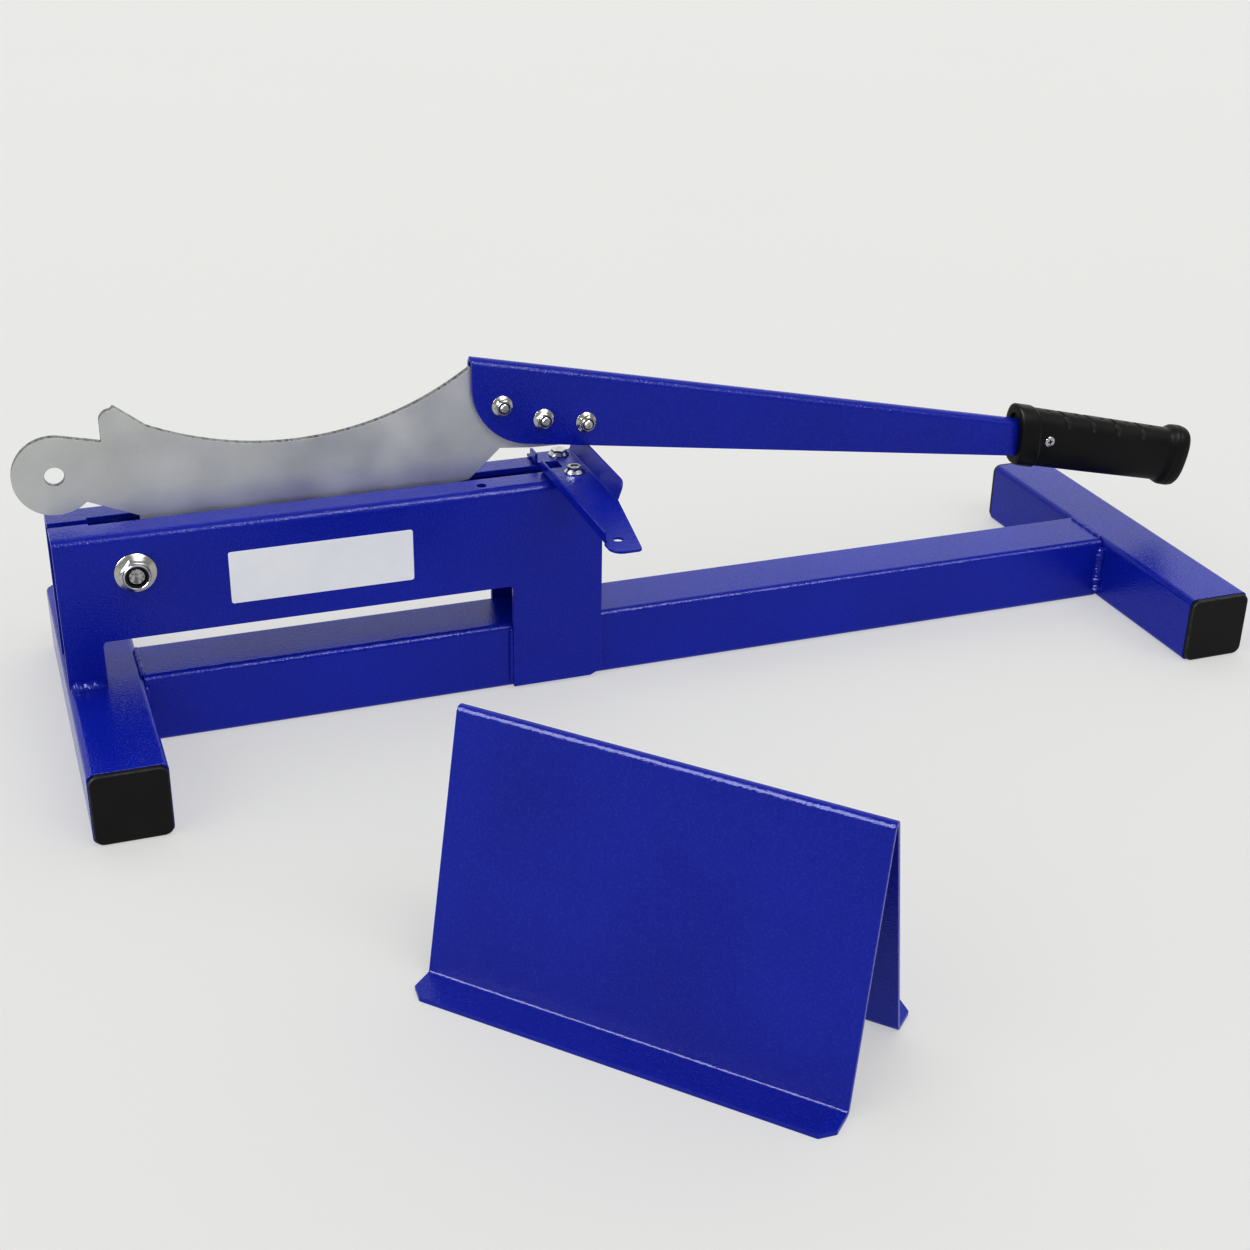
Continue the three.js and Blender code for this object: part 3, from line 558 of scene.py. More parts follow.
@dataclass
class Blank:
    """A piece in the making, in millimetres: drawn as an outline, filled, thickened and worked."""

    bm: bmesh.types.BMesh = field(default_factory=bmesh.new)

    def __post_init__(self) -> None:
        """Adds the attribute that marks rims."""
        self.rims = self.bm.faces.layers.float.new(RIM)
        self.first: BMVert | None = None
        self.last: BMVert | None = None

    def everything(self) -> list:
        """All of the blank's corners, edges and faces."""
        return self.bm.verts[:] + self.bm.edges[:] + self.bm.faces[:]

    def start(self, x: float, y: float) -> "Blank":
        """Puts the pen down at the outline's first corner."""
        self.first = self.last = self.bm.verts.new((x, y, 0.0))
        return self

    def to(self, *corners: Point) -> "Blank":
        """Draws straight lines to one corner after another.

        Args:
            corners: The corners.

        Returns:
            The blank.
        """
        for x, y in corners:
            self.last = bmesh.ops.extrude_vert_indiv(self.bm, verts=[self.last])["verts"][0]
            self.last.co = (x, y, 0.0)
        return self

    def arc(self, x: float, y: float, turn: float, steps: int = 8) -> "Blank":
        """Draws an arc from the pen's place.

        Args:
            x: The centre.
            y: The centre.
            turn: Degrees to turn, positive against the clock.
            steps: Straight pieces.

        Returns:
            The blank, so that strokes can follow each other.
        """
        swept = bmesh.ops.spin(self.bm, geom=[self.last], cent=(x, y, 0.0), axis=(0.0, 0.0, 1.0),
                               angle=math.radians(turn), steps=steps, use_merge=False)
        self.last = next(part for part in swept["geom_last"] if isinstance(part, BMVert))
        return self

    def close(self) -> "Blank":
        """Draws the line back to the first corner."""
        bmesh.ops.contextual_create(self.bm, geom=[self.last, self.first])
        return self

    def hole(self, x: float, y: float, radius: float, segments: int = 32) -> "Blank":
        """Draws a round hole.

        Args:
            x: Its middle.
            y: Its middle.
            radius: Its radius.
            segments: Straight pieces round it.

        Returns:
            The blank.
        """
        bmesh.ops.create_circle(self.bm, cap_ends=False, segments=segments, radius=radius,
                                matrix=shift(x, y, 0.0))
        return self

    def slab(self, width: float, height: float, corner: float, steps: int = 5) -> "Blank":
        """Makes a flat rectangle with round corners, centred.

        Args:
            width: Along X.
            height: Along Y.
            corner: Radius of the corners.
            steps: Pieces of each corner.

        Returns:
            The blank.
        """
        bmesh.ops.create_grid(self.bm, x_segments=1, y_segments=1, size=0.5)
        bmesh.ops.scale(self.bm, vec=(width, height, 1.0), verts=self.bm.verts[:])
        bmesh.ops.bevel(self.bm, geom=self.bm.verts[:], offset=corner, offset_type="OFFSET",
                        segments=steps, profile=0.5, affect="VERTICES", material=-1)
        return self

    def fill(self) -> "Blank":
        """Fills the outline, leaving its holes open, with as few faces as it takes.

        Returns:
            The blank.
        """
        bmesh.ops.remove_doubles(self.bm, verts=self.bm.verts[:], dist=NEAR)
        bmesh.ops.triangle_fill(self.bm, use_beauty=True, use_dissolve=False,
                                edges=self.bm.edges[:], normal=(0.0, 0.0, 1.0))
        self.tidy()
        return self

    def tidy(self) -> None:
        """Dissolves the lines inside a flat sheet and turns its faces up."""
        inside = [edge for edge in self.bm.edges if len(edge.link_faces) == 2]
        bmesh.ops.dissolve_limit(self.bm, angle_limit=math.radians(0.5), use_dissolve_boundaries=False,
                                 verts=[], edges=inside)
        down = [face for face in self.bm.faces if face.normal.z < 0.0]
        if down:
            bmesh.ops.reverse_faces(self.bm, faces=down)

    def mirror(self) -> "Blank":
        """Adds the other half of a flat sheet, across the line where Y is zero.

        Returns:
            The blank.
        """
        bmesh.ops.mirror(self.bm, geom=self.everything(), axis="Y", merge_dist=NEAR)
        bmesh.ops.remove_doubles(self.bm, verts=self.bm.verts[:], dist=NEAR)
        bmesh.ops.recalc_face_normals(self.bm, faces=self.bm.faces[:])
        self.tidy()
        return self

    def thicken(self, height: float) -> "Blank":
        """Raises a flat sheet to a closed plate between z = 0 and the height.

        Args:
            height: The plate's thickness.

        Returns:
            The blank.
        """
        grown = bmesh.ops.extrude_face_region(self.bm, geom=self.bm.faces[:], use_keep_orig=True)
        raised = [part for part in grown["geom"] if isinstance(part, BMVert)]
        bmesh.ops.translate(self.bm, verts=raised, vec=(0.0, 0.0, height))
        bmesh.ops.recalc_face_normals(self.bm, faces=self.bm.faces[:])
        return self

    def push(self, faces: list[BMFace], inset: float, depth: float) -> list[BMFace]:
        """Insets faces and moves what is inside them.

        Args:
            faces: The faces, which lie side by side.
            inset: Width of the border.
            depth: How far the middle moves along Z.

        Returns:
            The faces in the middle.
        """
        bmesh.ops.inset_region(self.bm, faces=faces, thickness=inset, use_even_offset=True)
        grown = bmesh.ops.extrude_face_region(self.bm, geom=faces)
        middle = [part for part in grown["geom"] if isinstance(part, BMFace)]
        old = [face for face in faces if face.is_valid]
        if old:
            bmesh.ops.delete(self.bm, geom=old, context="FACES_ONLY")
        moved = {vert for face in middle for vert in face.verts}
        bmesh.ops.translate(self.bm, verts=list(moved), vec=(0.0, 0.0, depth))
        return middle

    def soften(self, offset: float, segments: int = 2, limit: float = 40.0,
               where: Callable[[BMEdge], bool] | None = None) -> "Blank":
        """Rounds the sharp edges and marks their faces as rims.

        Args:
            offset: Width of the rounding.
            segments: Pieces across it.
            limit: Least angle of a sharp edge, in degrees.
            where: Picks among the sharp edges, or all of them.

        Returns:
            The blank.
        """
        sharp = [edge for edge in self.bm.edges if edge.calc_face_angle(0.0) > math.radians(limit)
                 and (where is None or where(edge))]
        made = bmesh.ops.bevel(self.bm, geom=sharp, offset=offset, offset_type="OFFSET",
                               segments=segments, profile=0.5, affect="EDGES",
                               clamp_overlap=False, material=-1)
        for face in made["faces"]:
            face[self.rims] = 1.0
        return self

    def fold(self, *bends: Bend) -> "Blank":
        """Folds a flat plate. Outer bends come before the ones nearer its middle.

        Args:
            bends: The folds.

        Returns:
            The blank.
        """
        for bend in bends:
            self._fold_once(bend)
        return self

    def _fold_once(self, bend: Bend) -> None:
        """Cuts the plate at the bend's steps and turns each step round the bend's centre.

        Args:
            bend: The fold.
        """
        reach = bend.length()
        for step in range(bend.steps + 1):
            line = bend.at + bend.side * reach * step / bend.steps
            bmesh.ops.bisect_plane(self.bm, geom=self.everything(), dist=NEAR,
                                   plane_co=(0.0, line, 0.0), plane_no=(0.0, 1.0, 0.0))
        centre = Vector((0.0, bend.at, bend.sheet + bend.inner if bend.up else -bend.inner))
        turn = math.radians(bend.angle) * bend.side * (1.0 if bend.up else -1.0)
        groups: dict[float, list[BMVert]] = {}
        for vert in self.bm.verts:
            beyond = (vert.co.y - bend.at) * bend.side
            along = bend.span is None or bend.span[0] - NEAR < vert.co.x < bend.span[1] + NEAR
            if beyond > NEAR and along:
                groups.setdefault(round(min(beyond, reach), 3), []).append(vert)
        for beyond, verts in groups.items():
            turned = (Matrix.Translation(centre) @ Matrix.Rotation(turn * beyond / reach, 4, "X")
                      @ Matrix.Translation(-centre - Vector((0.0, bend.side * beyond, 0.0))))
            bmesh.ops.transform(self.bm, matrix=turned, verts=verts)

    def grind(self, point: Vector, normal: Vector) -> list[BMFace]:
        """Takes off all that lies beyond a plane and closes the cut.

        Args:
            point: A place on the plane.
            normal: Its direction, toward what goes.

        Returns:
            The new faces.
        """
        cut = bmesh.ops.bisect_plane(self.bm, geom=self.everything(), dist=NEAR, plane_co=point,
                                     plane_no=normal, clear_outer=True)
        rim = [part for part in cut["geom_cut"] if isinstance(part, BMEdge) and part.is_boundary]
        return bmesh.ops.holes_fill(self.bm, edges=rim, sides=0)["faces"]

    def move(self, matrix: Matrix) -> "Blank":
        """Moves or turns the whole blank."""
        bmesh.ops.transform(self.bm, matrix=matrix, verts=self.bm.verts[:])
        return self


@dataclass
class Turned(Blank):
    """A piece that grows ring by ring along Z, round or with flats."""

    segments: int = 48

    def __post_init__(self) -> None:
        """Adds the attribute that keeps each point's turn round the axis."""
        super().__post_init__()
        self.turns = self.bm.verts.layers.float.new("turn")
        self.rims = self.bm.faces.layers.float[RIM]
        self.open_edges: list[BMEdge] = []
        self.start_edges: list[BMEdge] = []

    def grow(self, place: Callable[[float], Vector], finish: int = 0, rim: bool = False) -> "Turned":
        """Adds a ring whose points a function places.

        Args:
            place: Gives a point from its turn in radians.
            finish: Number of the finish between this ring and the last.
            rim: Whether the faces between them are a rim.

        Returns:
            The piece, so that rings can follow each other.
        """
        if self.open_edges:
            grown = bmesh.ops.extrude_edge_only(self.bm, edges=self.open_edges)["geom"]
            verts = {part for part in grown if isinstance(part, BMVert)}
            self.open_edges = [part for part in grown if isinstance(part, BMEdge)
                               and part.verts[0] in verts and part.verts[1] in verts]
            for face in {face for edge in self.open_edges for face in edge.link_faces}:
                face.material_index = finish
                face[self.rims] = 1.0 if rim else 0.0
        else:
            verts = set(bmesh.ops.create_circle(self.bm, cap_ends=False, segments=self.segments,
                                                radius=1.0)["verts"])
            for vert in verts:
                vert[self.turns] = math.atan2(vert.co.y, vert.co.x)
            self.open_edges = self.bm.edges[:]
            self.start_edges = self.bm.edges[:]
        for vert in verts:
            vert.co = place(vert[self.turns])
        return self

    def ring(self, radius: float, height: float, section: Section = Section.ROUND,
             slope: float = 0.0, finish: int = 0, rim: bool = False) -> "Turned":
        """Adds a ring.

        Args:
            radius: Of a round ring, or to the middle of a hexagon's flats.
            height: Along Z.
            section: Round or a hexagon.
            slope: How much a hexagon's ring falls toward its corners.
            finish: Number of the finish below the ring.
            rim: Whether the faces below it are a rim.

        Returns:
            The piece.
        """
        def place(turn: float) -> Vector:
            """Places one point of the ring.

            Args:
                turn: Round the axis, in radians.

            Returns:
                The point.
            """
            reach = radius
            if section is Section.HEXAGON:
                reach = radius / math.cos(turn % (math.pi / 3.0) - math.pi / 6.0)
            return Vector((*polar(reach, turn), height - slope * (reach - radius)))
        return self.grow(place, finish, rim)

    def flange(self, radius: float, side: float, half: float, shoulder: float) -> "Turned":
        """Adds a flange from z = 0 up to the hexagon that it carries.

        Args:
            radius: Of the flange.
            side: Height of its upright side.
            half: Half the hexagon's width over its flats.
            shoulder: Height where the hexagon starts.

        Returns:
            The piece.
        """
        edge = radius * FLANGE_EDGE
        self.ring(radius - edge, 0.0).ring(radius, edge, rim=True).ring(radius, side)
        self.ring(radius - edge, side + edge, rim=True)
        return self.ring(half, shoulder, Section.HEXAGON, (shoulder - side) / (radius - half))

    def cap(self, edges: list[BMEdge], finish: int = 0) -> "Turned":
        """Closes one end with a flat face.

        Args:
            edges: The open edges there.
            finish: Number of its finish.

        Returns:
            The piece.
        """
        for part in bmesh.ops.contextual_create(self.bm, geom=edges)["faces"]:
            part.material_index = finish
        return self

    def cap_ends(self, start: int = 0, end: int = 0) -> "Turned":
        """Closes both ends, each with a finish."""
        return self.cap(self.start_edges, start).cap(self.open_edges, end)

    def join(self) -> "Turned":
        """Joins a bored piece's last ring to its first."""
        bmesh.ops.remove_doubles(self.bm, verts=self.bm.verts[:], dist=NEAR)
        return self


@dataclass
class Workshop:
    """Makes pieces of finished blanks and reports each."""

    count: int = 0

    def piece(self, name: str, blank: Blank, place: Matrix, body: Body, slot: Slot,
              finishes: Iterable[Finish], nodes: Iterable[str] = (),
              smooth: float = 32.0) -> bpy.types.Object:
        """Makes a piece, puts it in its place and ties it to the frame.

        Args:
            name: The piece's name.
            blank: Its shape in millimetres.
            place: Its place in the model, in millimetres.
            body: The body that it rides on.
            slot: The record's slot for the piece; not used.
            finishes: Its finishes, in the order that its faces number them.
            nodes: CAD nodes that it stands for.
            smooth: Edges sharper than this, in degrees, stay sharp.

        Returns:
            The piece.
        """
        blank.move(METRES @ place)
        bmesh.ops.recalc_face_normals(blank.bm, faces=blank.bm.faces[:])
        if isinstance(blank, Turned):
            blank.bm.verts.layers.float.remove(blank.turns)
        mesh = bpy.data.meshes.new(name)
        blank.bm.to_mesh(mesh)
        open_edges = sum(1 for edge in blank.bm.edges if not edge.is_manifold)
        blank.bm.free()
        for finish in finishes:
            mesh.materials.append(material_of(finish))
        mesh.shade_smooth()
        mesh.set_sharp_from_angle(angle=math.radians(smooth))
        made = bpy.data.objects.new(name, mesh)
        bpy.context.scene.collection.objects.link(made)
        weighted = made.modifiers.new("weighted normals", "WEIGHTED_NORMAL")
        weighted.keep_sharp = True
        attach(made, body.value)
        if nodes:
            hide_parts(*nodes)
        self.count += 1
        log.info("%s: %d faces on %s, %d open edges", name, len(mesh.polygons), body.value, open_edges)
        return made


# Fasteners


@dataclass
class FlangeNut:
    """A lock nut with a flange, a crimped collar and a nylon ring; its seat is at z = 0."""

    flats: float
    flange_radius: float
    flange: float
    height: float
    bore: float
    shank: float
    shoulder: float = 1.45        # of the flange's height
    flats_end: float = 0.79       # of the nut's height, as are the second numbers below
    collar: tuple[Point, ...] = ((0.985, 0.80), (0.975, 0.88), (0.955, 0.94), (0.92, 0.98), (0.88, 0.99),
                                 (0.84, 0.985), (0.81, 0.955))
    nylon: Point = (0.80, 0.935)
    lip: tuple[float, ...] = (0.925, 0.905, 0.72, 0.70)
    gap: float = 0.04

    def blank(self) -> Turned:
        """Grows the nut from its seat, over its outside and back through its bore.

        Returns:
            The nut.
        """
        half, high = self.flats / 2.0, self.height
        edge = self.flange_radius * FLANGE_EDGE
        nut = Turned().ring(self.bore + edge, 0.0)
        nut.flange(self.flange_radius, self.flange / 2.0, half, self.flange * self.shoulder)
        nut.ring(half, high * self.flats_end, Section.HEXAGON, CHAMFER)
        for share, rise in self.collar:
            nut.ring(half * share, high * rise)
        nut.ring(half * self.nylon[0], high * self.nylon[1], finish=1)
        inside = self.shank + self.gap
        for radius, rise in zip((inside + edge, inside, inside), self.lip):
            nut.ring(radius, high * rise, finish=1)
        nut.ring(self.bore, high * self.lip[-1]).ring(self.bore, edge).ring(self.bore + edge, 0.0)
        return nut.join()


@dataclass
class HexBolt:
    """A bolt with its head above z = 0 and its threaded shank below."""

    radius: float
    shank: float
    flats: float
    head: float
    pitch: float
    thread: float
    flange_radius: float = 0.0
    flange: float = 0.0
    tip: float = 0.2              # of the radius
    thread_depth: float = 0.6     # of the pitch, as are the next three places
    groove: Spot = (0.15, 0.5, 0.95)
    shoulder: float = 2.0         # of the flange's height
    washer_face: Point = (0.94, 0.05)         # of half the width and of the head's height
    under_flats: Point = (1.2, -0.25)         # height, of the washer face's, and slope to the corners
    dimple: tuple[Point, ...] = ((0.95, 1.0), (0.60, 1.0), (0.50, 0.93), (0.20, 0.90))

    def blank(self) -> Turned:
        """Grows the bolt from its tip to the dimple in its head.

        Returns:
            The bolt.
        """
        tip, root = self.radius * self.tip, self.radius - self.thread_depth * self.pitch
        bolt = Turned().ring(self.radius - tip, -self.shank)
        bolt.ring(self.radius, tip - self.shank, finish=1)
        for turn in range(int(self.thread / self.pitch)):
            low = tip - self.shank + turn * self.pitch
            for radius, rise in zip((self.radius, root, self.radius), self.groove):
                bolt.ring(radius, low + rise * self.pitch)
        half = self.flats / 2.0
        bolt.ring(self.radius, 0.0)
        if self.flange_radius:
            bolt.flange(self.flange_radius, self.flange / 2.0, half, self.flange * self.shoulder)
        else:
            face, rise = half * self.washer_face[0], self.head * self.washer_face[1]
            start, slope = self.under_flats
            bolt.ring(face, 0.0).ring(face, rise).ring(half, rise * start, Section.HEXAGON, slope)
        bolt.ring(half, self.head, Section.HEXAGON, CHAMFER)
        for share, rise in self.dimple:
            bolt.ring(half * share, self.head * rise)
        return bolt.cap_ends(start=1)


@dataclass
class Sleeve:
    """A washer, a spacer or a plain nut: a ring of metal above its seat at z = 0."""

    outer: float
    bore: float
    height: float
    section: Section = Section.ROUND
    most_edge: float = 0.4        # chamfer of all but the thinnest
    thin_edge: float = 6.0        # the thinnest have their height over this

    def blank(self) -> Turned:
        """Grows the ring round its section, with small chamfers.

        Returns:
            The ring.
        """
        edge = min(self.most_edge, self.height / self.thin_edge)
        slope = CHAMFER if self.section is Section.HEXAGON else 0.0
        sleeve = Turned()
        sleeve.ring(self.bore + edge, 0.0).ring(self.outer - edge, 0.0)
        sleeve.ring(self.outer, edge, self.section, -slope, rim=True)
        sleeve.ring(self.outer, self.height - edge, self.section, slope)
        sleeve.ring(self.outer - edge, self.height, rim=True).ring(self.bore + edge, self.height)
        sleeve.ring(self.bore, self.height - edge).ring(self.bore, edge).ring(self.bore + edge, 0.0)
        return sleeve.join()


@dataclass
class WeldBead:
    """A rippled bead of weld along Z, tapered at both ends."""

    length: float
    radius: float
    seed: float = 0.0
    pitch: float = 2.4
    rings: float = 5.0            # for each ripple
    ripple: float = 0.05          # of the radius, as are the next two
    swell: float = 0.25
    sag: float = 0.18
    swell_rate: float = 0.25      # waves of the noise for each millimetre
    sag_rate: float = 0.2
    thinnest: float = 0.04        # square of the end's share of the radius
    fewest: int = 12              # rings of a short bead
    lag: float = 0.25             # of a ripple's sides, of the radius

    def blank(self) -> Turned:
        """Grows the bead ring by ring.

        Returns:
            The bead.
        """
        bead = Turned(segments=14)
        steps = max(self.fewest, int(self.length / (self.pitch / self.rings)))
        for step in range(steps + 1):
            along = self.length * step / steps
            near_end = min(along, self.length - along) / self.radius
            taper = math.sqrt(max(self.thinnest, 1.0 - max(0.0, 1.0 - near_end) ** 2))
            wave = 1.0 + self.ripple * math.sin(2.0 * math.pi * along / self.pitch)
            wave += self.swell * noise.noise(Vector((self.seed, along * self.swell_rate, 0.0)))
            sag = self.sag * self.radius * noise.noise(Vector((along * self.sag_rate, self.seed, 5.0)))
            radius = self.radius * taper * wave

            def place(turn: float, radius: float = radius, along: float = along,
                      sag: float = sag) -> Vector:
                """Places one point of a ripple, which lags behind at the bead's sides.

                Args:
                    turn: Round the axis, in radians.
                    radius: The bead's radius there.
                    along: Distance along the bead.
                    sag: How far it lies off its line.

                Returns:
                    The point.
                """
                lag = (1.0 - math.cos(turn)) * self.radius * self.lag * min(1.0, near_end)
                height = min(self.length, max(0.0, along - lag))
                return Vector((*polar(radius, turn), height)) + Vector((0.0, sag, 0.0))
            bead.grow(place)
        return bead.cap_ends()


# Sub-assemblies


@dataclass
class Assembly:
    """A sub-assembly of the cutter, with the workshop that its pieces are made in."""

    shop: Workshop


@dataclass
class Base(Assembly):
    """The beam and the two cross feet of square tube, the plastic caps and the welds."""

    wall: float = 2.0
    corner: float = 3.5
    cap_side: float = 39.2
    cap_corner: float = 5.0
    cap_flange: float = 3.0
    plug_side: float = 35.4
    plug_depth: float = 12.0
    plug_wall: float = 2.0
    plug_floor: float = 1.0
    lip_round: float = 0.8        # of the cap's outer edge
    cut_round: float = 0.25       # of the tubes' ends
    bead_seed: float = 3.7        # step from one bead's noise to the next
    bead_smooth: float = 75.0
    bead_sides: tuple[tuple[str, float, float, Spot, Matrix], ...] = (
        ("left_leg", 18.8, 4.5, (-337.9, 22.5, 39.8), ALONG),
        ("right_leg", 34.0, 1.5, (-93.9, 20.9, 4.0), UPRIGHT),
        ("leg_corner", 32.0, 1.05, (-40.1, 20.6, 6.0), UPRIGHT),
        ("right_joint", 31.0, 3.75, (299.1, 20.0, 4.5), UPRIGHT),
        ("left_joint", 31.0, 2.25, (-299.1, 20.0, 4.5), UPRIGHT),
    )
    bead_tops: tuple[tuple[str, float, float, Spot], ...] = (
        ("right_joint", 34.0, 1.5, (299.5, -17.0, 39.7)),
        ("left_joint", 34.0, 1.5, (-299.5, -17.0, 39.7)),
    )

    def build(self) -> None:
        """Makes the base."""
        half = LAYOUT.tube_side / 2.0
        beam = self.tube(2.0 * LAYOUT.beam_half)
        self.shop.piece("beam_tube", beam, shift(-LAYOUT.beam_half, 0.0, half) @ ALONG,
                        Body.BASE, Slot.BLUE_PAINT, [BLUE], ["base_beam"])
        for side, x in (("left", -LAYOUT.foot_middle), ("right", LAYOUT.foot_middle)):
            self.shop.piece(f"{side}_foot_tube", self.tube(2.0 * LAYOUT.tube_half),
                            shift(x, LAYOUT.tube_half, half) @ TOWARD_FRONT,
                            Body.BASE, Slot.BLUE_PAINT, [BLUE], [f"{side}_foot"])
            for end, toward, facing in ENDS:
                place = shift(x, toward * LAYOUT.tube_half, half) @ facing
                self.shop.piece(f"{side}_{end}_cap", self.cap(), place, Body.BASE, Slot.BLACK_PLASTIC,
                                [CAP], [f"{side}_foot_{end}_cap"])
        self.weld()

    def tube(self, length: float) -> Blank:
        """A square tube along Z.

        Args:
            length: Its length.

        Returns:
            The tube.
        """
        blank = Blank().slab(LAYOUT.tube_side, LAYOUT.tube_side, self.corner)
        middle = blank.bm.faces[:]
        bmesh.ops.inset_region(blank.bm, faces=middle, thickness=self.wall, use_boundary=True,
                               use_even_offset=True)
        bmesh.ops.delete(blank.bm, geom=middle, context="FACES_ONLY")
        blank.thicken(length)
        return blank.soften(self.cut_round, 1, SQUARE)

    def cap(self) -> Blank:
        """A cap that faces up Z, with its hollow plug below z = 0.

        Returns:
            The cap.
        """
        blank = Blank().slab(self.cap_side, self.cap_side, self.cap_corner, 6).thicken(self.cap_flange)
        blank.soften(self.lip_round, 3, SQUARE,
                     lambda edge: min(vert.co.z for vert in edge.verts) > NEAR)
        under = [face for face in blank.bm.faces if face.normal.z < -FACING]
        plug = blank.push(under, (self.cap_side - self.plug_side) / 2.0, -self.plug_depth)
        blank.push(plug, self.plug_wall, self.plug_depth - self.plug_floor)
        return blank

    def weld(self) -> None:
        """Lays the weld beads in the corners between the tubes and the housing's legs."""
        runs = [(f"{name}_{side}_bead", length, radius, shift(x, toward * y, z) @ turn)
                for side, toward, _ in ENDS for name, length, radius, (x, y, z), turn in self.bead_sides]
        runs += [(f"{name}_top_bead", length, radius, shift(*start) @ TOWARD_BACK)
                 for name, length, radius, start in self.bead_tops]
        for number, (name, length, radius, place) in enumerate(runs):
            bead = WeldBead(length, radius, number * self.bead_seed).blank()
            self.shop.piece(name, bead, place, Body.BASE, Slot.BLUE_PAINT, [BLUE],
                            smooth=self.bead_smooth)


@dataclass
class Housing(Assembly):
    """The folded sheet that straddles the beam, with its deck and slot, and the blank label."""

    fold_inner: float = 2.0
    fold_start: float = 18.3      # half the deck's flat width
    leg_foot: float = 40.3        # height of the left leg's lower edge
    right_leg_foot: float = 1.5
    left_leg: float = 20.0
    right_leg: float = 53.0
    chamfer: Point = (6.5, 3.0)
    window_top: float = 65.6
    window_corner: float = 2.5
    slot_inset: float = 20.5
    slot_end_inset: float = 15.0
    slot_half: float = 5.0
    slit_half: float = 2.8
    pivot_hole: float = 5.3
    bolt_hole: float = 2.8
    spare_hole: Spot = (-108.5, -14.2, 2.6)
    label_size: Spot = (100.0, 30.0, 0.25)
    label_middle: Point = (-200.3, 93.3)
    label_corner: float = 1.5
    label_round: float = 0.06     # of its edges
    rim: float = 0.45             # rounding of the sheet's edges

    def build(self) -> None:
        """Makes the housing and its label."""
        sheet = LAYOUT.deck_sheet
        blank = self.pattern().thicken(sheet).soften(self.rim)
        blank.fold(*(Bend(side * self.fold_start, side, 90.0, self.fold_inner, sheet, steps=7)
                     for side in (-1, 1)))
        place = shift(0.0, 0.0, LAYOUT.deck_height - sheet)
        self.shop.piece("folded_housing", blank, place, Body.BASE, Slot.BLUE_PAINT, [BLUE], ["housing"])
        width, height, film = self.label_size
        label = Blank().slab(width, height, self.label_corner).thicken(film).soften(self.label_round, 1)
        place = shift(self.label_middle[0], -LAYOUT.wall_outside, self.label_middle[1])
        self.shop.piece("blank_label", label, place @ TOWARD_FRONT, Body.BASE, Slot.WHITE_LABEL,
                        [FILM], ["label"])

    def across(self, height: float) -> float:
        """Place on the flat pattern, from its middle, of a height on the walls.

        Args:
            height: Over the floor.

        Returns:
            The distance from the middle.
        """
        bend = Bend(self.fold_start, 1, 90.0, self.fold_inner, LAYOUT.deck_sheet).length()
        fold_height = LAYOUT.deck_height - self.fold_inner - LAYOUT.deck_sheet
        return self.fold_start + bend + fold_height - height

    def pattern(self) -> Blank:
        """The housing before it is folded, with the front wall on the side where Y is negative.

        Returns:
            The flat sheet.
        """
        left, right = LAYOUT.housing_left, LAYOUT.housing_right
        window = self.across(self.window_top)
        window_left = left + self.left_leg
        window_right = right - self.right_leg
        corner = self.window_corner
        leg, foot = self.across(self.leg_foot), self.across(self.right_leg_foot)
        cut_x, cut_y = right - self.chamfer[0], foot - self.chamfer[1]
        slot_left, slot_right = left + self.slot_inset, right - self.slot_end_inset
        blank = Blank().start(left, -leg).to((window_left, -leg), (window_left, -window - corner))
        blank.arc(window_left + corner, -window - corner, -90.0).to((window_right - corner, -window))
        blank.arc(window_right - corner, -window - corner, -90.0)
        blank.to((window_right, -foot), (cut_x, -foot))
        blank.to((right, -cut_y), (right, cut_y), (cut_x, foot), (window_right, foot))
        blank.to((window_right, window + corner)).arc(window_right - corner, window + corner, -90.0)
        blank.to((window_left + corner, window)).arc(window_left + corner, window + corner, -90.0)
        blank.to((window_left, leg), (left, leg), (left, self.slit_half), (slot_left, self.slit_half))
        blank.to((slot_left, self.slot_half), (slot_right, self.slot_half))
        blank.to((slot_right, -self.slot_half), (slot_left, -self.slot_half))
        blank.to((slot_left, -self.slit_half), (left, -self.slit_half))
        blank.close()
        pivot = self.across(LAYOUT.pivot_height)
        for side in (-1.0, 1.0):
            blank.hole(LAYOUT.pivot_reach, side * pivot, self.pivot_hole)
            blank.hole(LAYOUT.fence_bolt_reach, side * LAYOUT.fence_bolt_offset, self.bolt_hole)
        return blank.hole(*self.spare_hole).fill()


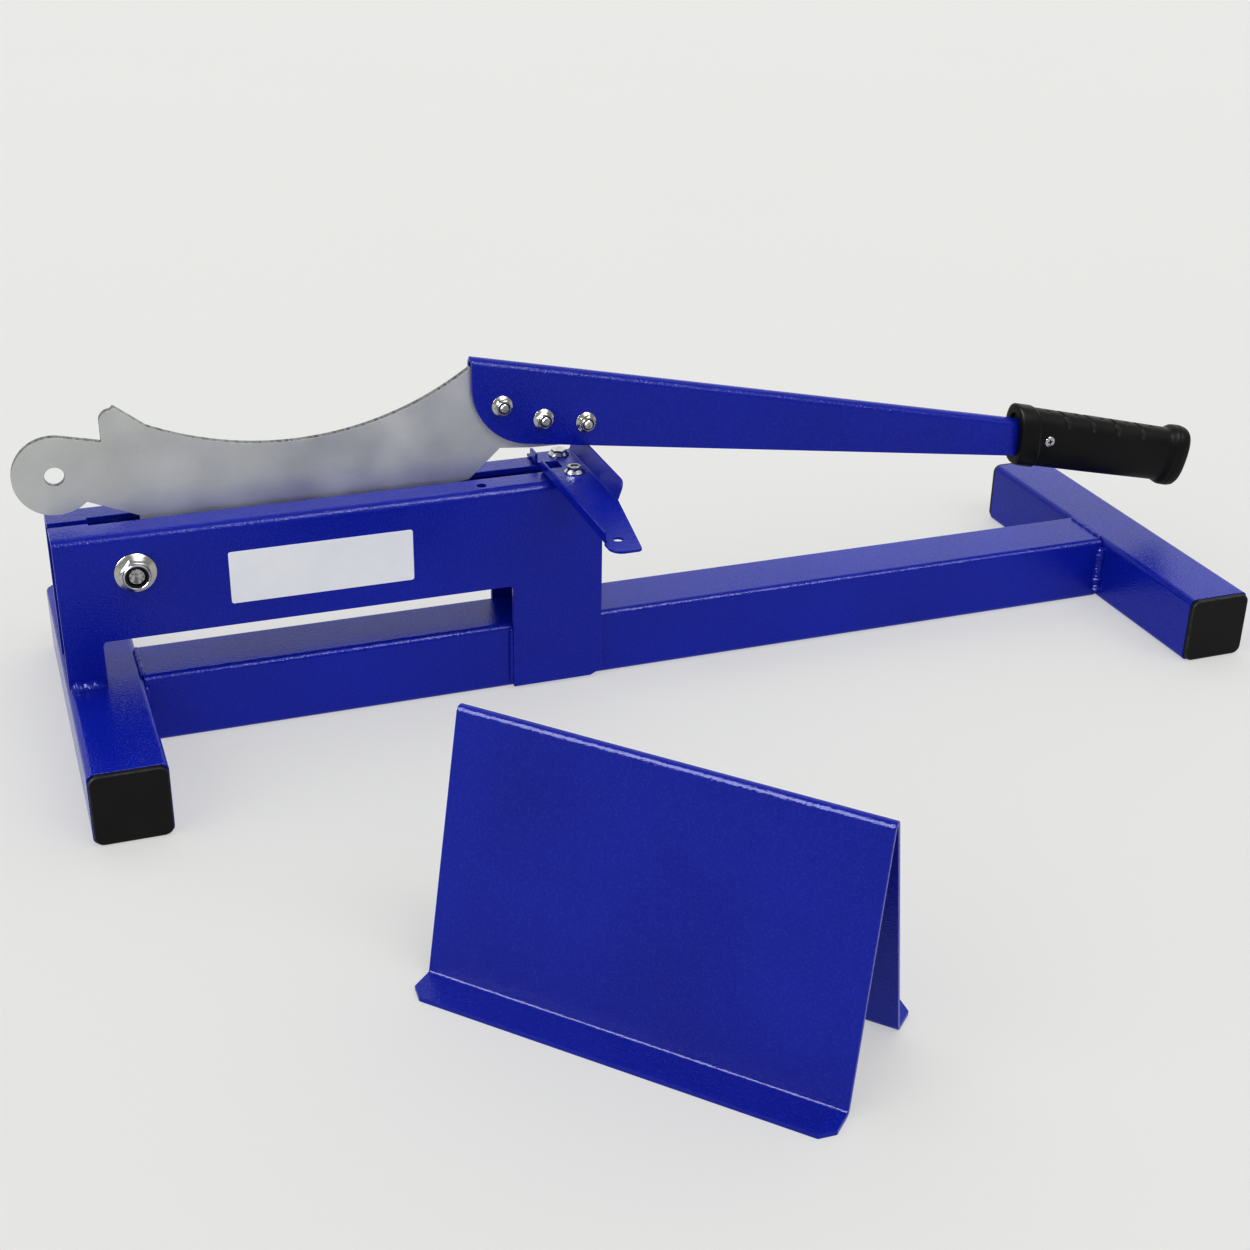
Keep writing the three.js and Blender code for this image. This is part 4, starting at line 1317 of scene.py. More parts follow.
@dataclass
class Pivot(Assembly):
    """The bolt across the housing with its nut, its washer and the two spacers inside."""

    radius: float = 5.0
    bore: float = 5.3
    tip: float = -1.2             # the bolt ends inside the nut
    nut: FlangeNut = field(default_factory=lambda: FlangeNut(
        flats=15.0, flange_radius=10.9, flange=2.0, height=7.5, bore=5.3, shank=5.0))
    nut_turn: float = 50.0
    head_flats: float = 16.0
    head: float = 6.4
    thread: Point = (1.5, 18.0)   # its pitch and its length
    washer: Point = (10.0, 2.0)
    spacer_radius: float = 8.0
    gap: float = 0.3

    def build(self) -> None:
        """Makes the pivot."""
        wall = LAYOUT.wall_outside
        seat = wall + self.washer[1]
        shank = seat + wall + self.nut.height + self.tip
        bolt = HexBolt(self.radius, shank, self.head_flats, self.head, *self.thread)
        washer = Sleeve(self.washer[0], self.bore, self.washer[1])
        turned = TOWARD_FRONT @ rotate(self.nut_turn, "Z")
        for name, part, y, facing, finishes, node in (
                ("pivot_flange_nut", self.nut, -wall, turned, [ZINC, NYLON_AND_RECESS_SHADE], "pivot_nut"),
                ("pivot_plain_washer", washer, wall, TOWARD_BACK, [ZINC], "pivot_washer"),
                ("pivot_cross_bolt", bolt, seat, TOWARD_BACK, [ZINC, BOLT_END], "pivot_bolt")):
            place = LAYOUT.swing() @ shift(0.0, y, 0.0) @ facing
            self.shop.piece(name, part.blank(), place, Body.BASE, Slot.BRIGHT_ZINC, finishes, [node])
        start = LAYOUT.knife_half + self.gap
        for end, toward, facing in ENDS:
            sleeve = Sleeve(self.spacer_radius, self.bore, LAYOUT.wall_inside - start - self.gap)
            place = LAYOUT.swing() @ shift(0.0, toward * start, 0.0) @ facing
            self.shop.piece(f"pivot_{end}_sleeve", sleeve.blank(), place, Body.BASE, Slot.ZINC_PLATE,
                            [PLATE], [f"pivot_spacer_{end}"])


@dataclass
class Knife(Assembly):
    """The knife's plate with its hook, its tail and the ground edge, drawn from the pivot."""

    eye: float = 16.0
    eye_join: float = 65.0
    pivot_hole: float = 5.3
    tail: Point = (-33.3, 49.0)
    tail_radius: float = 21.3
    tail_hole: float = 5.1
    tail_top: float = 77.2
    tail_notch: float = 46.8
    lower_edge: Point = (7.0, 22.4)
    hook_tip: Point = (-0.6, 83.4)
    hook_corner: float = 6.0
    hook_shoulder: float = 1.6
    step_back: float = 8.4
    hollow: Spot = (88.8, 229.8, 175.0)
    hollow_span: Point = (14.8, 188.3)
    heel: Point = (174.8, 10.4)
    shoulder: Point = (204.3, 37.5)
    band: Point = (221.7, 35.8)
    tab: Point = (264.8, 34.9)
    tab_top: float = 69.68
    bolt_hole: float = 2.8
    ground: float = 9.0
    edge_left: float = 0.8
    rim: float = 0.3              # rounding of the sheet's edges

    def build(self) -> None:
        """Makes the knife."""
        half = LAYOUT.knife_half
        blank = self.outline().thicken(2.0 * half).soften(self.rim).move(shift(0.0, 0.0, -half))
        for face in blank.bm.faces:
            face.material_index = 0 if abs(face.normal.z) > FACING else 1
        slope = self.edge_angle()
        along = Vector((*polar(1.0, slope), 0.0))
        down = Vector((math.sin(slope), -math.cos(slope), 0.0))
        depth = 2.0 * half - self.edge_left
        normal = (down * depth + Vector((0.0, 0.0, self.ground))).normalized()
        start = down * (self.eye - self.ground) + Vector((0.0, 0.0, half)) + along
        for face in blank.grind(start, normal):
            face.material_index = 1
        self.shop.piece("knife_plate", blank, LAYOUT.swing() @ TOWARD_FRONT, Body.SWING, Slot.ZINC_PLATE,
                        [PLATE, EDGE], ["knife"])

    def edge_angle(self) -> float:
        """Slope of the cutting edge, a tangent of the eye that ends at the heel, in radians."""
        return math.atan2(self.heel[1], self.heel[0]) + math.asin(self.eye / math.hypot(*self.heel))

    def outline(self) -> Blank:
        """The knife seen from the front.

        Returns:
            The flat plate.
        """
        tail_x, tail_y = self.tail
        radius, notch = self.tail_radius, math.radians(self.tail_notch)
        blank = Blank().start(tail_x + radius * math.cos(notch), tail_y - radius * math.sin(notch))
        join = math.radians(self.eye_join)
        blank.to(self.lower_edge, polar(self.eye, join))
        blank.arc(0.0, 0.0, math.degrees(self.edge_angle()) + 270.0 - self.eye_join, 30)
        blank.to(self.heel, self.shoulder, self.band, self.tab, (self.tab[0], self.tab_top))
        middle, height, hollow = self.hollow
        first, last = (math.asin((x - middle) / hollow) for x in reversed(self.hollow_span))
        blank.to((middle + hollow * math.sin(first), height - hollow * math.cos(first)))
        blank.arc(middle, height, math.degrees(last - first), 36)
        corner = self.hook_corner
        shoulder = self.hook_tip[1] - self.hook_shoulder
        blank.to(self.hook_tip, (corner - self.step_back, shoulder))
        blank.arc(corner - self.step_back, shoulder - corner, 90.0)
        top = math.radians(self.tail_top)
        leave = (tail_x + radius * math.cos(top), tail_y + radius * math.sin(top))
        blank.to((-self.step_back, leave[1] + (self.step_back + leave[0]) / math.tan(top)), leave)
        blank.arc(tail_x, tail_y, 360.0 - self.tail_notch - self.tail_top, 32).close()
        blank.hole(0.0, 0.0, self.pivot_hole).hole(tail_x, tail_y, self.tail_hole)
        for reach, rise in LAYOUT.lever_bolts:
            blank.hole(reach, rise, self.bolt_hole, SMALL_HOLE)
        return blank.fill()


@dataclass
class Lever(Assembly):
    """The sheet folded over the knife's back, with its bolts and flange nuts."""

    sheet: float = 2.5
    inner: float = 2.3
    corner: Spot = (223.8, 74.4, 35.5)
    top: Point = (188.3, 91.4)
    top_slope: float = 11.9
    bottom_slope: float = 7.94
    end: float = 609.0
    bolt_hole: float = 2.8
    screw_hole: Spot = (555.51, 3.05, 2.1)
    nut: FlangeNut = field(default_factory=lambda: FlangeNut(
        flats=8.0, flange_radius=5.9, flange=1.1, height=5.0, bore=2.8, shank=2.5))
    bolt_radius: float = 2.5
    head: Point = (8.0, 3.5)      # the bolts' width over flats and height
    thread: Point = (0.8, 9.0)
    tip: float = 1.0
    nut_turns: tuple[float, ...] = (8.0, 41.0, 22.0)
    rim: float = 0.4              # rounding of the sheet's edges

    def build(self) -> None:
        """Makes the lever and its fasteners."""
        blank = self.pattern().thicken(self.sheet).soften(self.rim)
        blank.fold(*(Bend(0.0, side, 90.0, self.inner, self.sheet, steps=8) for side in (-1, 1)))
        place = (LAYOUT.swing() @ shift(self.top[0], 0.0, self.top[1]) @ rotate(self.top_slope, "Y")
                 @ shift(0.0, 0.0, -self.sheet))
        self.shop.piece("folded_lever", blank, place, Body.SWING, Slot.BLUE_PAINT, [BLUE], ["lever_arm"])
        half = LAYOUT.lever_half
        shank = 2.0 * half + self.nut.height + self.tip
        bolt = HexBolt(self.bolt_radius, shank, *self.head, *self.thread)
        for number, ((reach, rise), turn) in enumerate(zip(LAYOUT.lever_bolts, self.nut_turns), 1):
            for name, node, part, y, facing, finishes in (
                    ("flange_nut", "nut", self.nut, -half, TOWARD_FRONT, [ZINC, NYLON_AND_RECESS_SHADE]),
                    ("cross_bolt", "bolt", bolt, half, TOWARD_BACK, [ZINC, BOLT_END])):
                place = LAYOUT.swing() @ shift(reach, y, rise) @ facing @ rotate(turn, "Z")
                self.shop.piece(f"lever_{name}_{number}", part.blank(), place, Body.SWING,
                                Slot.BRIGHT_ZINC, finishes, [f"lever_{node}_{number}"])

    def on_pattern(self, reach: float, rise: float) -> Point:
        """Place on the flat pattern of a place on the lever's side.

        Args:
            reach: Ahead of the pivot.
            rise: Over the pivot.

        Returns:
            Distance along the fold and across the sheet.
        """
        slope = math.radians(self.top_slope)
        ahead, up = reach - self.top[0], rise - self.top[1]
        along = ahead * math.cos(slope) - up * math.sin(slope)
        depth = -ahead * math.sin(slope) - up * math.cos(slope)
        outer = self.inner + self.sheet
        return along, depth - outer + Bend(0.0, 1, 90.0, self.inner, self.sheet).length()

    def pattern(self) -> Blank:
        """The lever before it is folded: one side, mirrored over the fold.

        Returns:
            The flat sheet.
        """
        centre_x, centre_y, radius = self.corner
        slope = math.radians(self.bottom_slope)
        fold = Bend(0.0, 1, 90.0, self.inner, self.sheet).length()
        outer = self.inner + self.sheet
        lean = math.tan(math.radians(self.top_slope))
        last_x = centre_x - radius * math.sin(slope)
        last_y = centre_y - radius * math.cos(slope)
        low_end = self.on_pattern(self.end, last_y - math.tan(slope) * (self.end - last_x))
        top_end = (self.end - self.top[0]) / math.cos(math.radians(self.top_slope))
        blank = Blank().start(0.0, 0.0).to((outer * lean, fold), self.on_pattern(self.top[0], centre_y))
        blank.arc(*self.on_pattern(centre_x, centre_y), self.bottom_slope - 90.0, 14)
        blank.to(low_end, (top_end + outer * lean, fold), (top_end, 0.0)).close()
        for reach, rise in LAYOUT.lever_bolts:
            blank.hole(*self.on_pattern(reach, rise), self.bolt_hole, SMALL_HOLE)
        blank.hole(*self.on_pattern(*self.screw_hole[:2]), self.screw_hole[2], SMALL_HOLE)
        return blank.fill().mirror()


@dataclass
class Grip(Assembly):
    """The moulded oval handle with its collars, its grooves and its screw."""

    start: Point = (535.1, 8.0)
    slope: float = 13.1
    tilt: float = 14.0
    squareness: float = 2.5
    step: float = 0.8
    sections: tuple[Spot, ...] = (        # distance, half height and half width
        (0.0, 15.4, 8.4), (0.15, 17.0, 10.0), (0.5, 17.9, 10.9), (1.1, 18.6, 11.6), (2.0, 19.0, 12.0),
        (11.6, 19.0, 12.0), (12.6, 18.9, 11.85), (13.4, 18.55, 11.3), (13.9, 18.2, 10.7),
        (14.6, 18.05, 10.45), (60.0, 17.75, 10.25), (112.5, 17.2, 10.0), (113.6, 17.35, 10.1),
        (114.6, 17.9, 10.6), (115.6, 18.7, 11.2), (117.2, 19.4, 11.75), (118.6, 19.6, 11.9),
        (119.3, 19.25, 11.6), (120.0, 19.65, 11.95), (123.5, 19.7, 12.0), (126.0, 19.2, 11.5),
        (127.6, 18.2, 10.5), (128.7, 16.6, 9.0), (129.4, 14.2, 6.8), (129.7, 11.5, 4.3),
    )
    mouth: tuple[Spot, ...] = ((2.4, 12.6, 5.6), (2.2, 13.0, 6.0), (0.3, 13.2, 6.2), (0.0, 13.6, 6.6))
    fine_rings: Point = (14.8, 112.0)         # where the rings stand one step apart
    tilt_fade: Point = (14.0, 114.5)
    grooves: tuple[float, ...] = (31.9, 50.7, 69.5, 88.3)
    groove_depth: float = 1.1
    groove_half: float = 1.15
    groove_turn: Point = (48.0, 152.0)        # degrees round the axis, as are the next two
    groove_fade: float = 12.0
    dimple_turn: float = 97.0
    groove_slant: float = 0.045   # along the grip for each degree
    dimples: tuple[float, ...] = (22.2, 42.8, 61.7, 80.5, 99.0)
    dimple_depth: float = 0.8
    dimple_half: Point = (1.8, 9.0)
    screw: Point = (21.0, 0.8)
    screw_head: Point = (3.5, 2.0)
    screw_shank: float = 1.8
    screw_proud: float = 0.4
    screw_tip: float = 2.6        # from the grip's middle
    under_head: float = 0.3
    cross: Spot = (0.34, 0.47, 0.6)           # half width, reach of the radius, floor of the height
    # rings of the screw's head, as shares of its radius and height: its side and shoulder, the ones that
    # the cross sinks from, and the point in the middle, which is dark with painted shade
    head_rings: tuple[tuple[float, float, bool], ...] = (
        (1.0, 0.60, False), (0.95, 0.80, True), (0.85, 0.92, False))
    cross_rings: tuple[float, ...] = (0.60, 0.50, 0.46, 0.40, 0.32, 0.24)
    dome: float = 0.04            # fall of the head's top toward its rim, of the height
    point_rings: tuple[Point, ...] = ((0.18, 0.42), (0.05, 0.36))

    def build(self) -> None:
        """Makes the grip and its screw."""
        axis = LAYOUT.swing() @ shift(self.start[0], 0.0, self.start[1]) @ rotate(self.slope, "Y")
        along = Matrix(((0.0, 0.0, 1.0), (1.0, 0.0, 0.0), (0.0, 1.0, 0.0))).to_4x4()
        self.shop.piece("moulded_grip", self.skin(), axis @ along, Body.SWING, Slot.BLACK_GRIP,
                        [GRIP], ["grip"], 50.0)
        reach, rise = self.screw
        seat = self.half_sizes(reach)[1] - self.screw_head[1] + self.screw_proud
        place = axis @ shift(reach, -seat, rise) @ TOWARD_FRONT
        # painted shade: the screw's second finish, the dark nylon's, darkens the middle of its cross
        # recess
        self.shop.piece("grip_cross_screw", self.screw_blank(seat), place, Body.SWING, Slot.BRIGHT_ZINC,
                        [ZINC, NYLON_AND_RECESS_SHADE], ["grip_screw"])

    def half_sizes(self, distance: float) -> Point:
        """Half height and half width at a distance along the axis.

        Args:
            distance: From the grip's mouth.

        Returns:
            Half the height and half the width.
        """
        for (start, high, wide), (end, next_high, next_wide) in zip(self.sections, self.sections[1:]):
            if distance <= end:
                share = max(0.0, (distance - start) / (end - start))
                return high + (next_high - high) * share, wide + (next_wide - wide) * share
        return self.sections[-1][1:]

    def skin(self) -> Turned:
        """The grip along Z, with X to its back and Y up, and a recessed mouth round the lever.

        Returns:
            The grip.
        """
        blank = Turned(segments=72)
        for distance, high, wide in self.mouth:
            blank.grow(lambda turn, d=distance, h=high, w=wide: self.on_oval(turn, d, h, w, 0.0))
        stops = {distance for distance, _, _ in self.sections}
        first, last = self.fine_rings
        stops |= {first + self.step * number for number in range(int((last - first) / self.step))}
        for distance in sorted(stops):
            high, wide = self.half_sizes(distance)
            blank.grow(lambda turn, d=distance, h=high, w=wide:
                       self.on_oval(turn, d, h, w, self.dent(turn, d)))
        return blank.cap_ends()

    def on_oval(self, turn: float, distance: float, high: float, wide: float, dent: float) -> Vector:
        """A point of one oval section.

        Args:
            turn: Round the axis, from the back over the top, in radians.
            distance: Along the axis.
            high: Half height.
            wide: Half width.
            dent: How deep the skin is pressed in there.

        Returns:
            The point.
        """
        power = 2.0 / self.squareness
        side = math.copysign(abs(math.cos(turn)) ** power, math.cos(turn))
        rise = math.copysign(abs(math.sin(turn)) ** power, math.sin(turn))
        start, end = self.tilt_fade
        tilt = math.tan(math.radians(self.tilt)) * min(1.0, max(0.0, (end - distance) / (end - start)))
        up = (high - dent) * rise
        return Vector(((wide - dent) * side, up, distance - up * tilt))

    def dent(self, turn: float, distance: float) -> float:
        """Depth of the grooves and dimples at a place on the skin.

        Args:
            turn: Round the axis, from the back over the top, in radians.
            distance: Along the axis.

        Returns:
            The depth in millimetres.
        """
        degrees = math.degrees(turn) % 360.0
        start, end = self.groove_turn
        if not start < degrees < end:
            return 0.0
        fade = (min(1.0, (end - degrees) / self.groove_fade)
                * min(1.0, (degrees - start) / self.groove_fade))
        deepest = 0.0
        for groove in self.grooves:
            off = distance - groove - (degrees - 90.0) * self.groove_slant
            deepest = max(deepest, self.groove_depth * fade * (1.0 - (off / self.groove_half) ** 2))
        for dimple in self.dimples:
            off = math.hypot((distance - dimple) / self.dimple_half[0],
                             (degrees - self.dimple_turn) / self.dimple_half[1])
            deepest = max(deepest, self.dimple_depth * (1.0 - off ** 2))
        return deepest

    def screw_blank(self, seat: float) -> Turned:
        """The screw with a cross recess in its low round head, seat at z = 0; the recess's middle point
        is dark with painted shade.

        Args:
            seat: Distance from the grip's middle to the seat.

        Returns:
            The screw.
        """
        radius, high = self.screw_head
        blank = Turned(segments=64)
        blank.ring(self.screw_shank, self.screw_tip - seat)
        blank.ring(self.screw_shank, self.under_head).ring(radius, self.under_head)
        for share, rise, rim in self.head_rings:
            blank.ring(radius * share, high * rise, rim=rim)

        def recess(reach: float, height: float, floor: float) -> Callable[[float], Vector]:
            """A ring that sinks to the floor where the cross runs.

            Args:
                reach: Its radius.
                height: Of the head there.
                floor: Height of the cross's floor.

            Returns:
                What places its points.
            """
            def place(turn: float) -> Vector:
                """Places one point of the ring.

                Args:
                    turn: Round the axis, in radians.

                Returns:
                    The point.
                """
                off = abs((turn + math.pi / 8.0) % (math.pi / 2.0) - math.pi / 4.0)
                sunk = off * reach < self.cross[0] and reach < radius * self.cross[1]
                return Vector((*polar(reach, turn), floor if sunk else height))
            return place
        for share in self.cross_rings:
            blank.grow(recess(radius * share, high * (1.0 - self.dome * share), high * self.cross[2]))
        # painted shade: the recess's middle point and the face closing it take the dark second finish
        for share, rise in self.point_rings:
            blank.ring(radius * share, high * rise, finish=1)
        return blank.cap_ends(0, 1)


@dataclass
class Fence(Assembly):
    """The folded fence across the deck, with its two bolts and nuts."""

    width: float = 26.6
    tip_width: float = 16.7
    back: float = -21.0
    reach: float = 125.0
    guide_back: float = -15.0
    guide_reach: float = 111.0
    guide_height: float = 7.0
    stop_reach: float = 59.0
    stop_height: float = 11.05
    stop_lean: float = 19.3
    stop_corner: float = 5.0
    tip_corners: Point = (7.0, 3.0)
    notch_depth: float = 13.0
    notch_half: float = 5.0
    tip_hole: Point = (109.5, 2.7)
    bolt_hole: float = 2.8
    fold_inner: float = 1.0
    relief: float = 1.0
    bolt_radius: float = 2.5
    # flats, head, pitch, thread, and the radius and height of the flange
    bolt: tuple[float, ...] = (8.0, 3.5, 0.8, 8.0, 5.9, 1.1)
    bolt_turns: Point = (12.0, 37.0)
    nut: Point = (4.0, 5.0)
    tip: float = 1.0
    rim: float = 0.3              # rounding of the sheet's edges

    def build(self) -> None:
        """Makes the fence and its fasteners."""
        sheet = LAYOUT.fence_sheet
        guide, stop = self.bends()
        blank = self.pattern().thicken(sheet).soften(self.rim).fold(guide, stop)
        place = shift(LAYOUT.fence_left, 0.0, LAYOUT.deck_height) @ rotate(-90.0, "Z")
        self.shop.piece("folded_fence", blank, place, Body.BASE, Slot.BLUE_PAINT, [BLUE], ["fence"])
        shank = sheet + LAYOUT.deck_sheet + self.nut[1] + self.tip
        bolt = HexBolt(self.bolt_radius, shank, *self.bolt)
        nut = Sleeve(self.nut[0], self.bolt_hole, self.nut[1], Section.HEXAGON)
        top, under = LAYOUT.deck_height + sheet, LAYOUT.deck_height - LAYOUT.deck_sheet - self.nut[1]
        x, y = LAYOUT.fence_bolt_reach, LAYOUT.fence_bolt_offset
        for (end, side, _), turn in zip(ENDS, self.bolt_turns):
            for name, node, part, z, finishes in (("flange_bolt", "bolt", bolt, top, [ZINC, BOLT_END]),
                                                  ("hex_nut", "nut", nut, under, [ZINC])):
                place = shift(x, side * y, z) @ rotate(turn, "Z")
                self.shop.piece(f"fence_{name}_{end}", part.blank(), place, Body.BASE, Slot.BRIGHT_ZINC,
                                finishes, [f"fence_{node}_{end}"])

    def bends(self) -> tuple[Bend, Bend]:
        """The guide's fold along the left edge and the stop's along the right.

        Returns:
            Both folds.
        """
        sheet = LAYOUT.fence_sheet
        outer = self.fold_inner + sheet
        stop_angle = 90.0 - self.stop_lean
        stop_at = self.width - outer * math.tan(math.radians(stop_angle / 2.0))
        guide = Bend(outer, -1, 90.0, self.fold_inner, sheet, True,
                     (self.guide_back, self.guide_reach), steps=5)
        stop = Bend(stop_at, 1, stop_angle, self.fold_inner, sheet, True,
                    (self.back, self.stop_reach), steps=5)
        return guide, stop

    def pattern(self) -> Blank:
        """The fence before it is folded: X runs to its free end, Y from its left edge to its right.

        Returns:
            The flat sheet.
        """
        guide, stop = self.bends()
        outer = self.fold_inner + LAYOUT.fence_sheet
        low = guide.at - guide.length() - (self.guide_height - outer)
        slant = self.stop_height / math.cos(math.radians(self.stop_lean)) - (self.width - stop.at)
        high = stop.at + stop.length() + slant
        left, right = self.tip_corners
        notch, corner, relief = self.notch_half, self.stop_corner, self.relief
        reach = self.reach
        blank = Blank().start(self.back, 0.0)
        blank.to((self.guide_back - relief, 0.0), (self.guide_back - relief, outer))
        blank.to((self.guide_back, outer), (self.guide_back, low), (-notch, low))
        blank.to((-notch, self.notch_depth), (notch, self.notch_depth), (notch, low))
        blank.to((self.guide_reach, low), (self.guide_reach, outer))
        blank.to((self.guide_reach + relief, outer), (self.guide_reach + relief, 0.0))
        blank.to((reach - left, 0.0))
        blank.arc(reach - left, left, 90.0).to((reach, self.tip_width - right))
        blank.arc(reach - right, self.tip_width - right, 90.0)
        fall = (self.width - self.tip_width) / (reach - right - self.stop_reach)
        blank.to((self.stop_reach + relief, self.width - relief * fall))
        blank.to((self.stop_reach + relief, stop.at))
        blank.to((self.stop_reach, stop.at), (self.stop_reach, high - corner))
        blank.arc(self.stop_reach - corner, high - corner, 90.0).to((self.back + corner, high))
        blank.arc(self.back + corner, high - corner, 90.0).close()
        bolt = LAYOUT.fence_bolt_reach - LAYOUT.fence_left
        for side in (-1.0, 1.0):
            blank.hole(side * LAYOUT.fence_bolt_offset, bolt, self.bolt_hole, SMALL_HOLE)
        return blank.hole(self.tip_hole[0], self.tip_width / 2.0, self.tip_hole[1], 28).fill()


@dataclass
class Stand(Assembly):
    """The loose stand: one sheet folded to a ridge, with a foot turned out along each side."""

    length: float = 200.0
    span: float = 59.5
    height: float = 124.0
    foot: float = 19.5
    sheet: float = 2.5
    ridge_inner: float = 0.5      # radii inside the bends
    foot_inner: float = 1.5
    chamfer: float = 6.0          # cut off each corner of the feet
    slope: float = 76.42          # of the leaves, in degrees
    turn: float = -46.9
    at: Point = (-208.1, -269.1)
    rim: float = 0.4              # rounding of the sheet's edges

    def build(self) -> None:
        """Makes the stand."""
        ridge, foot = self.bends(1)
        far = foot.at + foot.length() + self.foot_flat()
        near, right = far - self.chamfer, self.length - self.chamfer
        blank = Blank().start(0.0, 0.0).to((0.0, near), (self.chamfer, far), (right, far))
        blank.to((self.length, near), (self.length, 0.0)).close().fill().mirror()
        blank.thicken(self.sheet).soften(self.rim)
        blank.fold(foot, self.bends(-1)[1], ridge, self.bends(-1)[0])
        place = (shift(*self.at, 0.0) @ rotate(self.turn, "Z")
                 @ shift(0.0, self.span / 2.0, self.height - self.sheet + LIFT))
        self.shop.piece("folded_stand", blank, place, Body.STAND, Slot.BLUE_PAINT, [BLUE],
                        ["support_stand"])

    def middle_radii(self) -> float:
        """Radii of the ridge's and the foot's bends at the middle of the sheet, added up."""
        return self.ridge_inner + self.foot_inner + self.sheet

    def leaf(self) -> float:
        """Straight length of a leaf between its two bends.

        Returns:
            The length.
        """
        slope = math.radians(self.slope)
        drop = self.height - self.sheet - self.middle_radii() * (1.0 - math.cos(slope))
        return drop / math.sin(slope)

    def foot_flat(self) -> float:
        """Flat width of a foot beyond its bend.

        Returns:
            The width.
        """
        slope = math.radians(self.slope)
        bend_end = self.middle_radii() * math.sin(slope) + self.leaf() * math.cos(slope)
        return self.span / 2.0 + self.foot - bend_end

    def bends(self, side: int) -> tuple[Bend, Bend]:
        """The ridge's half bend and the foot's bend on one side.

        Args:
            side: 1 or -1.

        Returns:
            Both bends.
        """
        ridge = Bend(0.0, side, self.slope, self.ridge_inner, self.sheet, steps=7)
        start = side * (ridge.length() + self.leaf())
        return ridge, Bend(start, side, self.slope, self.foot_inner, self.sheet, True, steps=6)


# Stage


@dataclass(frozen=True)
class Lamp:
    """A far lamp of the studio."""

    name: str
    toward: tuple[float, float, float]
    spread: float                 # its width in the sky, in degrees
    strength: float
    glossy_only: bool = False     # seen in the highlights and nowhere else

    def hang(self) -> None:
        """Hangs the lamp."""
        lamp = bpy.data.lights.new(self.name, "SUN")
        lamp.angle = math.radians(self.spread)
        lamp.energy = self.strength
        holder = bpy.data.objects.new(self.name, lamp)
        holder.matrix_world = Vector(self.toward).to_track_quat("Z", "Y").to_matrix().to_4x4()
        holder.visible_diffuse = not self.glossy_only
        bpy.context.scene.collection.objects.link(holder)


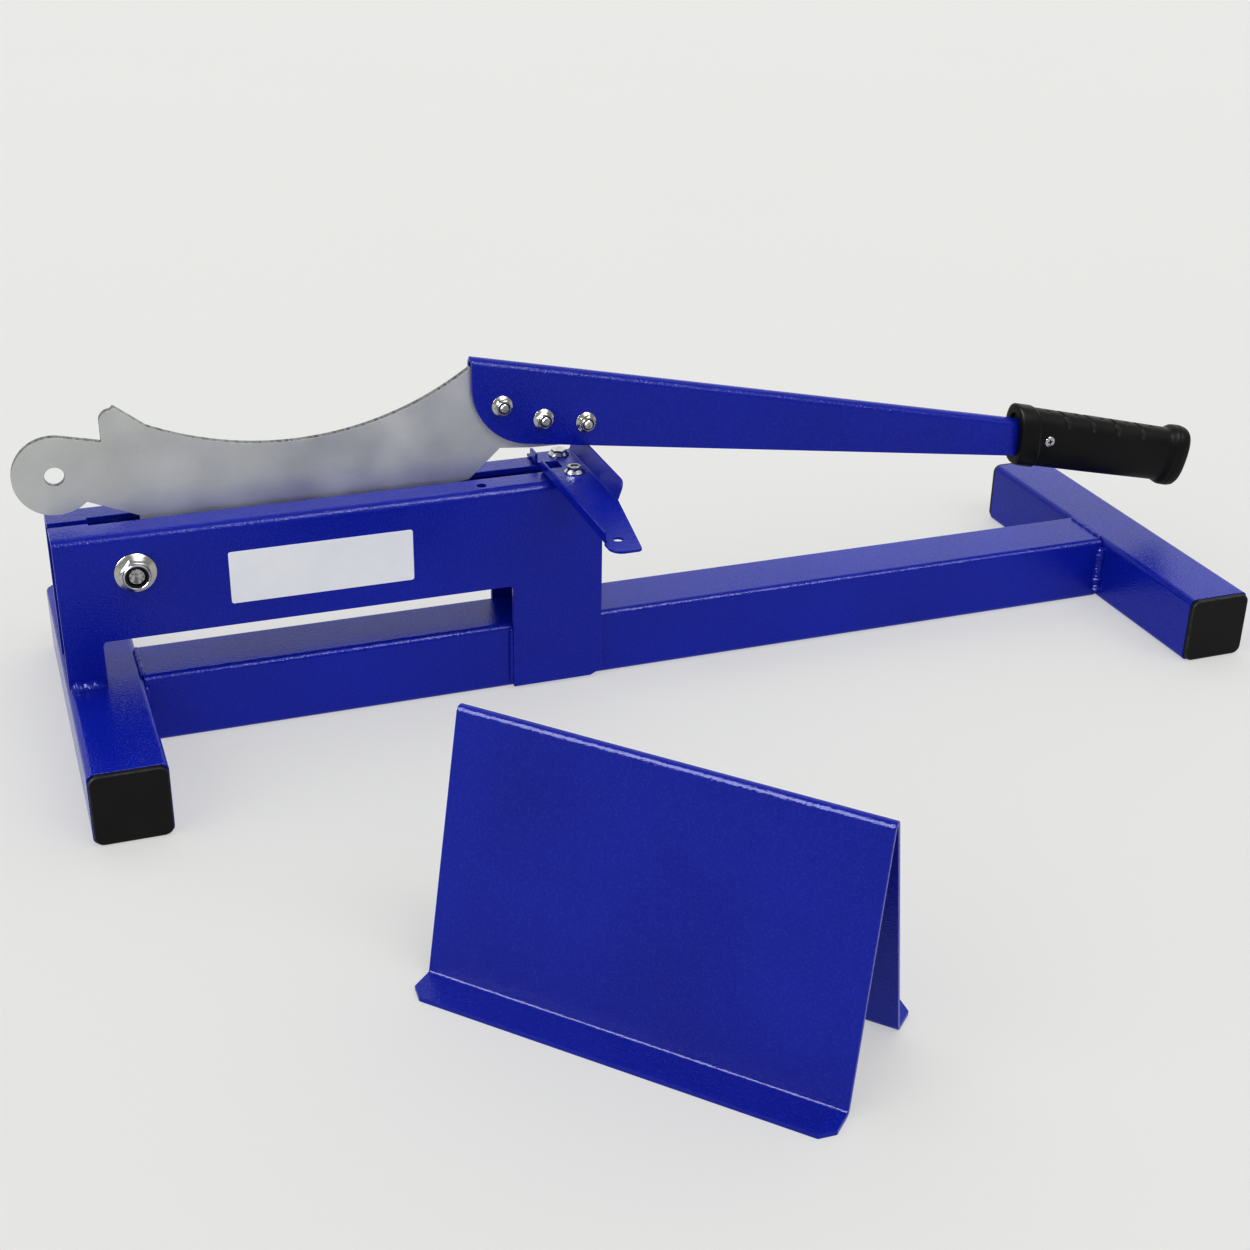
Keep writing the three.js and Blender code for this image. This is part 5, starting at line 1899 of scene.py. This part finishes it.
@dataclass
class Studio:
    """The pale floor, the soft light and the camera at the photograph's place."""

    floor_size: float = 40.0
    sky: Colour = (1.0, 1.0, 0.99)
    sky_front: float = 0.50       # strength of the sky, and of its brighter part behind
    sky_back: float = 1.3
    sky_toward: Spot = (0.35, 0.80, 0.49)
    sky_span: Point = (0.3, 0.9)
    contrast: float = 0.78        # below 1, the picture's dark tones are deeper
    camera_place: Spot = (-0.3697, -0.9384, 0.5154)
    camera_turn: Spot = (2.0097, -0.345, 0.2382)
    focal_pixels: float = 1871.1
    image_width: float = 1250.0
    sensor: float = 36.0
    nearest: float = 0.01
    lamps: tuple[Lamp, ...] = (
        Lamp("window_light", (0.315, -0.62, 0.72), 50.0, 0.85),
        Lamp("side_light", (-0.80, -0.20, 0.56), 50.0, 0.58),
        Lamp("window_glint", (0.315, -0.62, 0.72), 24.0, 1.45, True),
        Lamp("side_glint", (-0.75, -0.20, 0.62), 50.0, 7.0, True),
    )

    def build(self) -> None:
        """Sets the stage."""
        self.lay_floor()
        self.light()
        self.aim_camera()
        bpy.context.scene.view_settings.view_transform = "Standard"
        bpy.context.scene.view_settings.gamma = self.contrast

    def lay_floor(self) -> None:
        """Lays the floor just under the feet."""
        shape = bmesh.new()
        bmesh.ops.create_grid(shape, x_segments=1, y_segments=1, size=self.floor_size / 2.0)
        mesh = bpy.data.meshes.new("studio_floor")
        shape.to_mesh(mesh)
        shape.free()
        mesh.materials.append(material_of(FLOOR))
        floor = bpy.data.objects.new("studio_floor", mesh)
        bpy.context.scene.collection.objects.link(floor)

    def light(self) -> None:
        """Lights the world softly, brighter from behind, with far lamps over it."""
        world = bpy.data.worlds.new("pale_room")
        world.use_nodes = True
        nodes, links = world.node_tree.nodes, world.node_tree.links
        sky = nodes["Background"]
        sky.inputs["Color"].default_value = (*self.sky, 1.0)
        toward = nodes.new("ShaderNodeTexCoord")
        share = nodes.new("ShaderNodeVectorMath")
        share.operation = "DOT_PRODUCT"
        share.inputs[1].default_value = self.sky_toward
        strength = nodes.new("ShaderNodeMapRange")
        for name, value in (("From Min", self.sky_span[0]), ("From Max", self.sky_span[1]),
                            ("To Min", self.sky_front), ("To Max", self.sky_back)):
            strength.inputs[name].default_value = value
        links.new(toward.outputs["Generated"], share.inputs[0])
        links.new(share.outputs["Value"], strength.inputs["Value"])
        links.new(strength.outputs["Result"], sky.inputs["Strength"])
        bpy.context.scene.world = world
        for lamp in self.lamps:
            lamp.hang()

    def aim_camera(self) -> None:
        """Puts the camera where the photograph was taken from."""
        data = bpy.data.cameras.new("photo_camera")
        data.sensor_width = self.sensor
        data.lens = self.focal_pixels * self.sensor / self.image_width
        data.clip_start = self.nearest
        turn = Vector(self.camera_turn)
        world_to_view = Matrix.Rotation(turn.length, 3, turn.normalized())
        rotation = world_to_view.transposed() @ Matrix.Diagonal((1.0, -1.0, -1.0))
        camera = bpy.data.objects.new("photo_camera", data)
        camera.matrix_world = Matrix.Translation(self.camera_place) @ rotation.to_4x4()
        bpy.context.scene.collection.objects.link(camera)
        bpy.context.scene.camera = camera


def main() -> None:
    """Builds the stage and every sub-assembly in order."""
    logging.basicConfig(level=logging.INFO, format="%(name)s: %(message)s")
    Studio().build()
    shop = Workshop()
    for assembly in (Base, Housing, Pivot, Knife, Lever, Grip, Fence, Stand):
        assembly(shop).build()
        log.info("%s is built", assembly.__name__)
    log.info("%d pieces in all", shop.count)


if __name__ == "__main__":
    main()
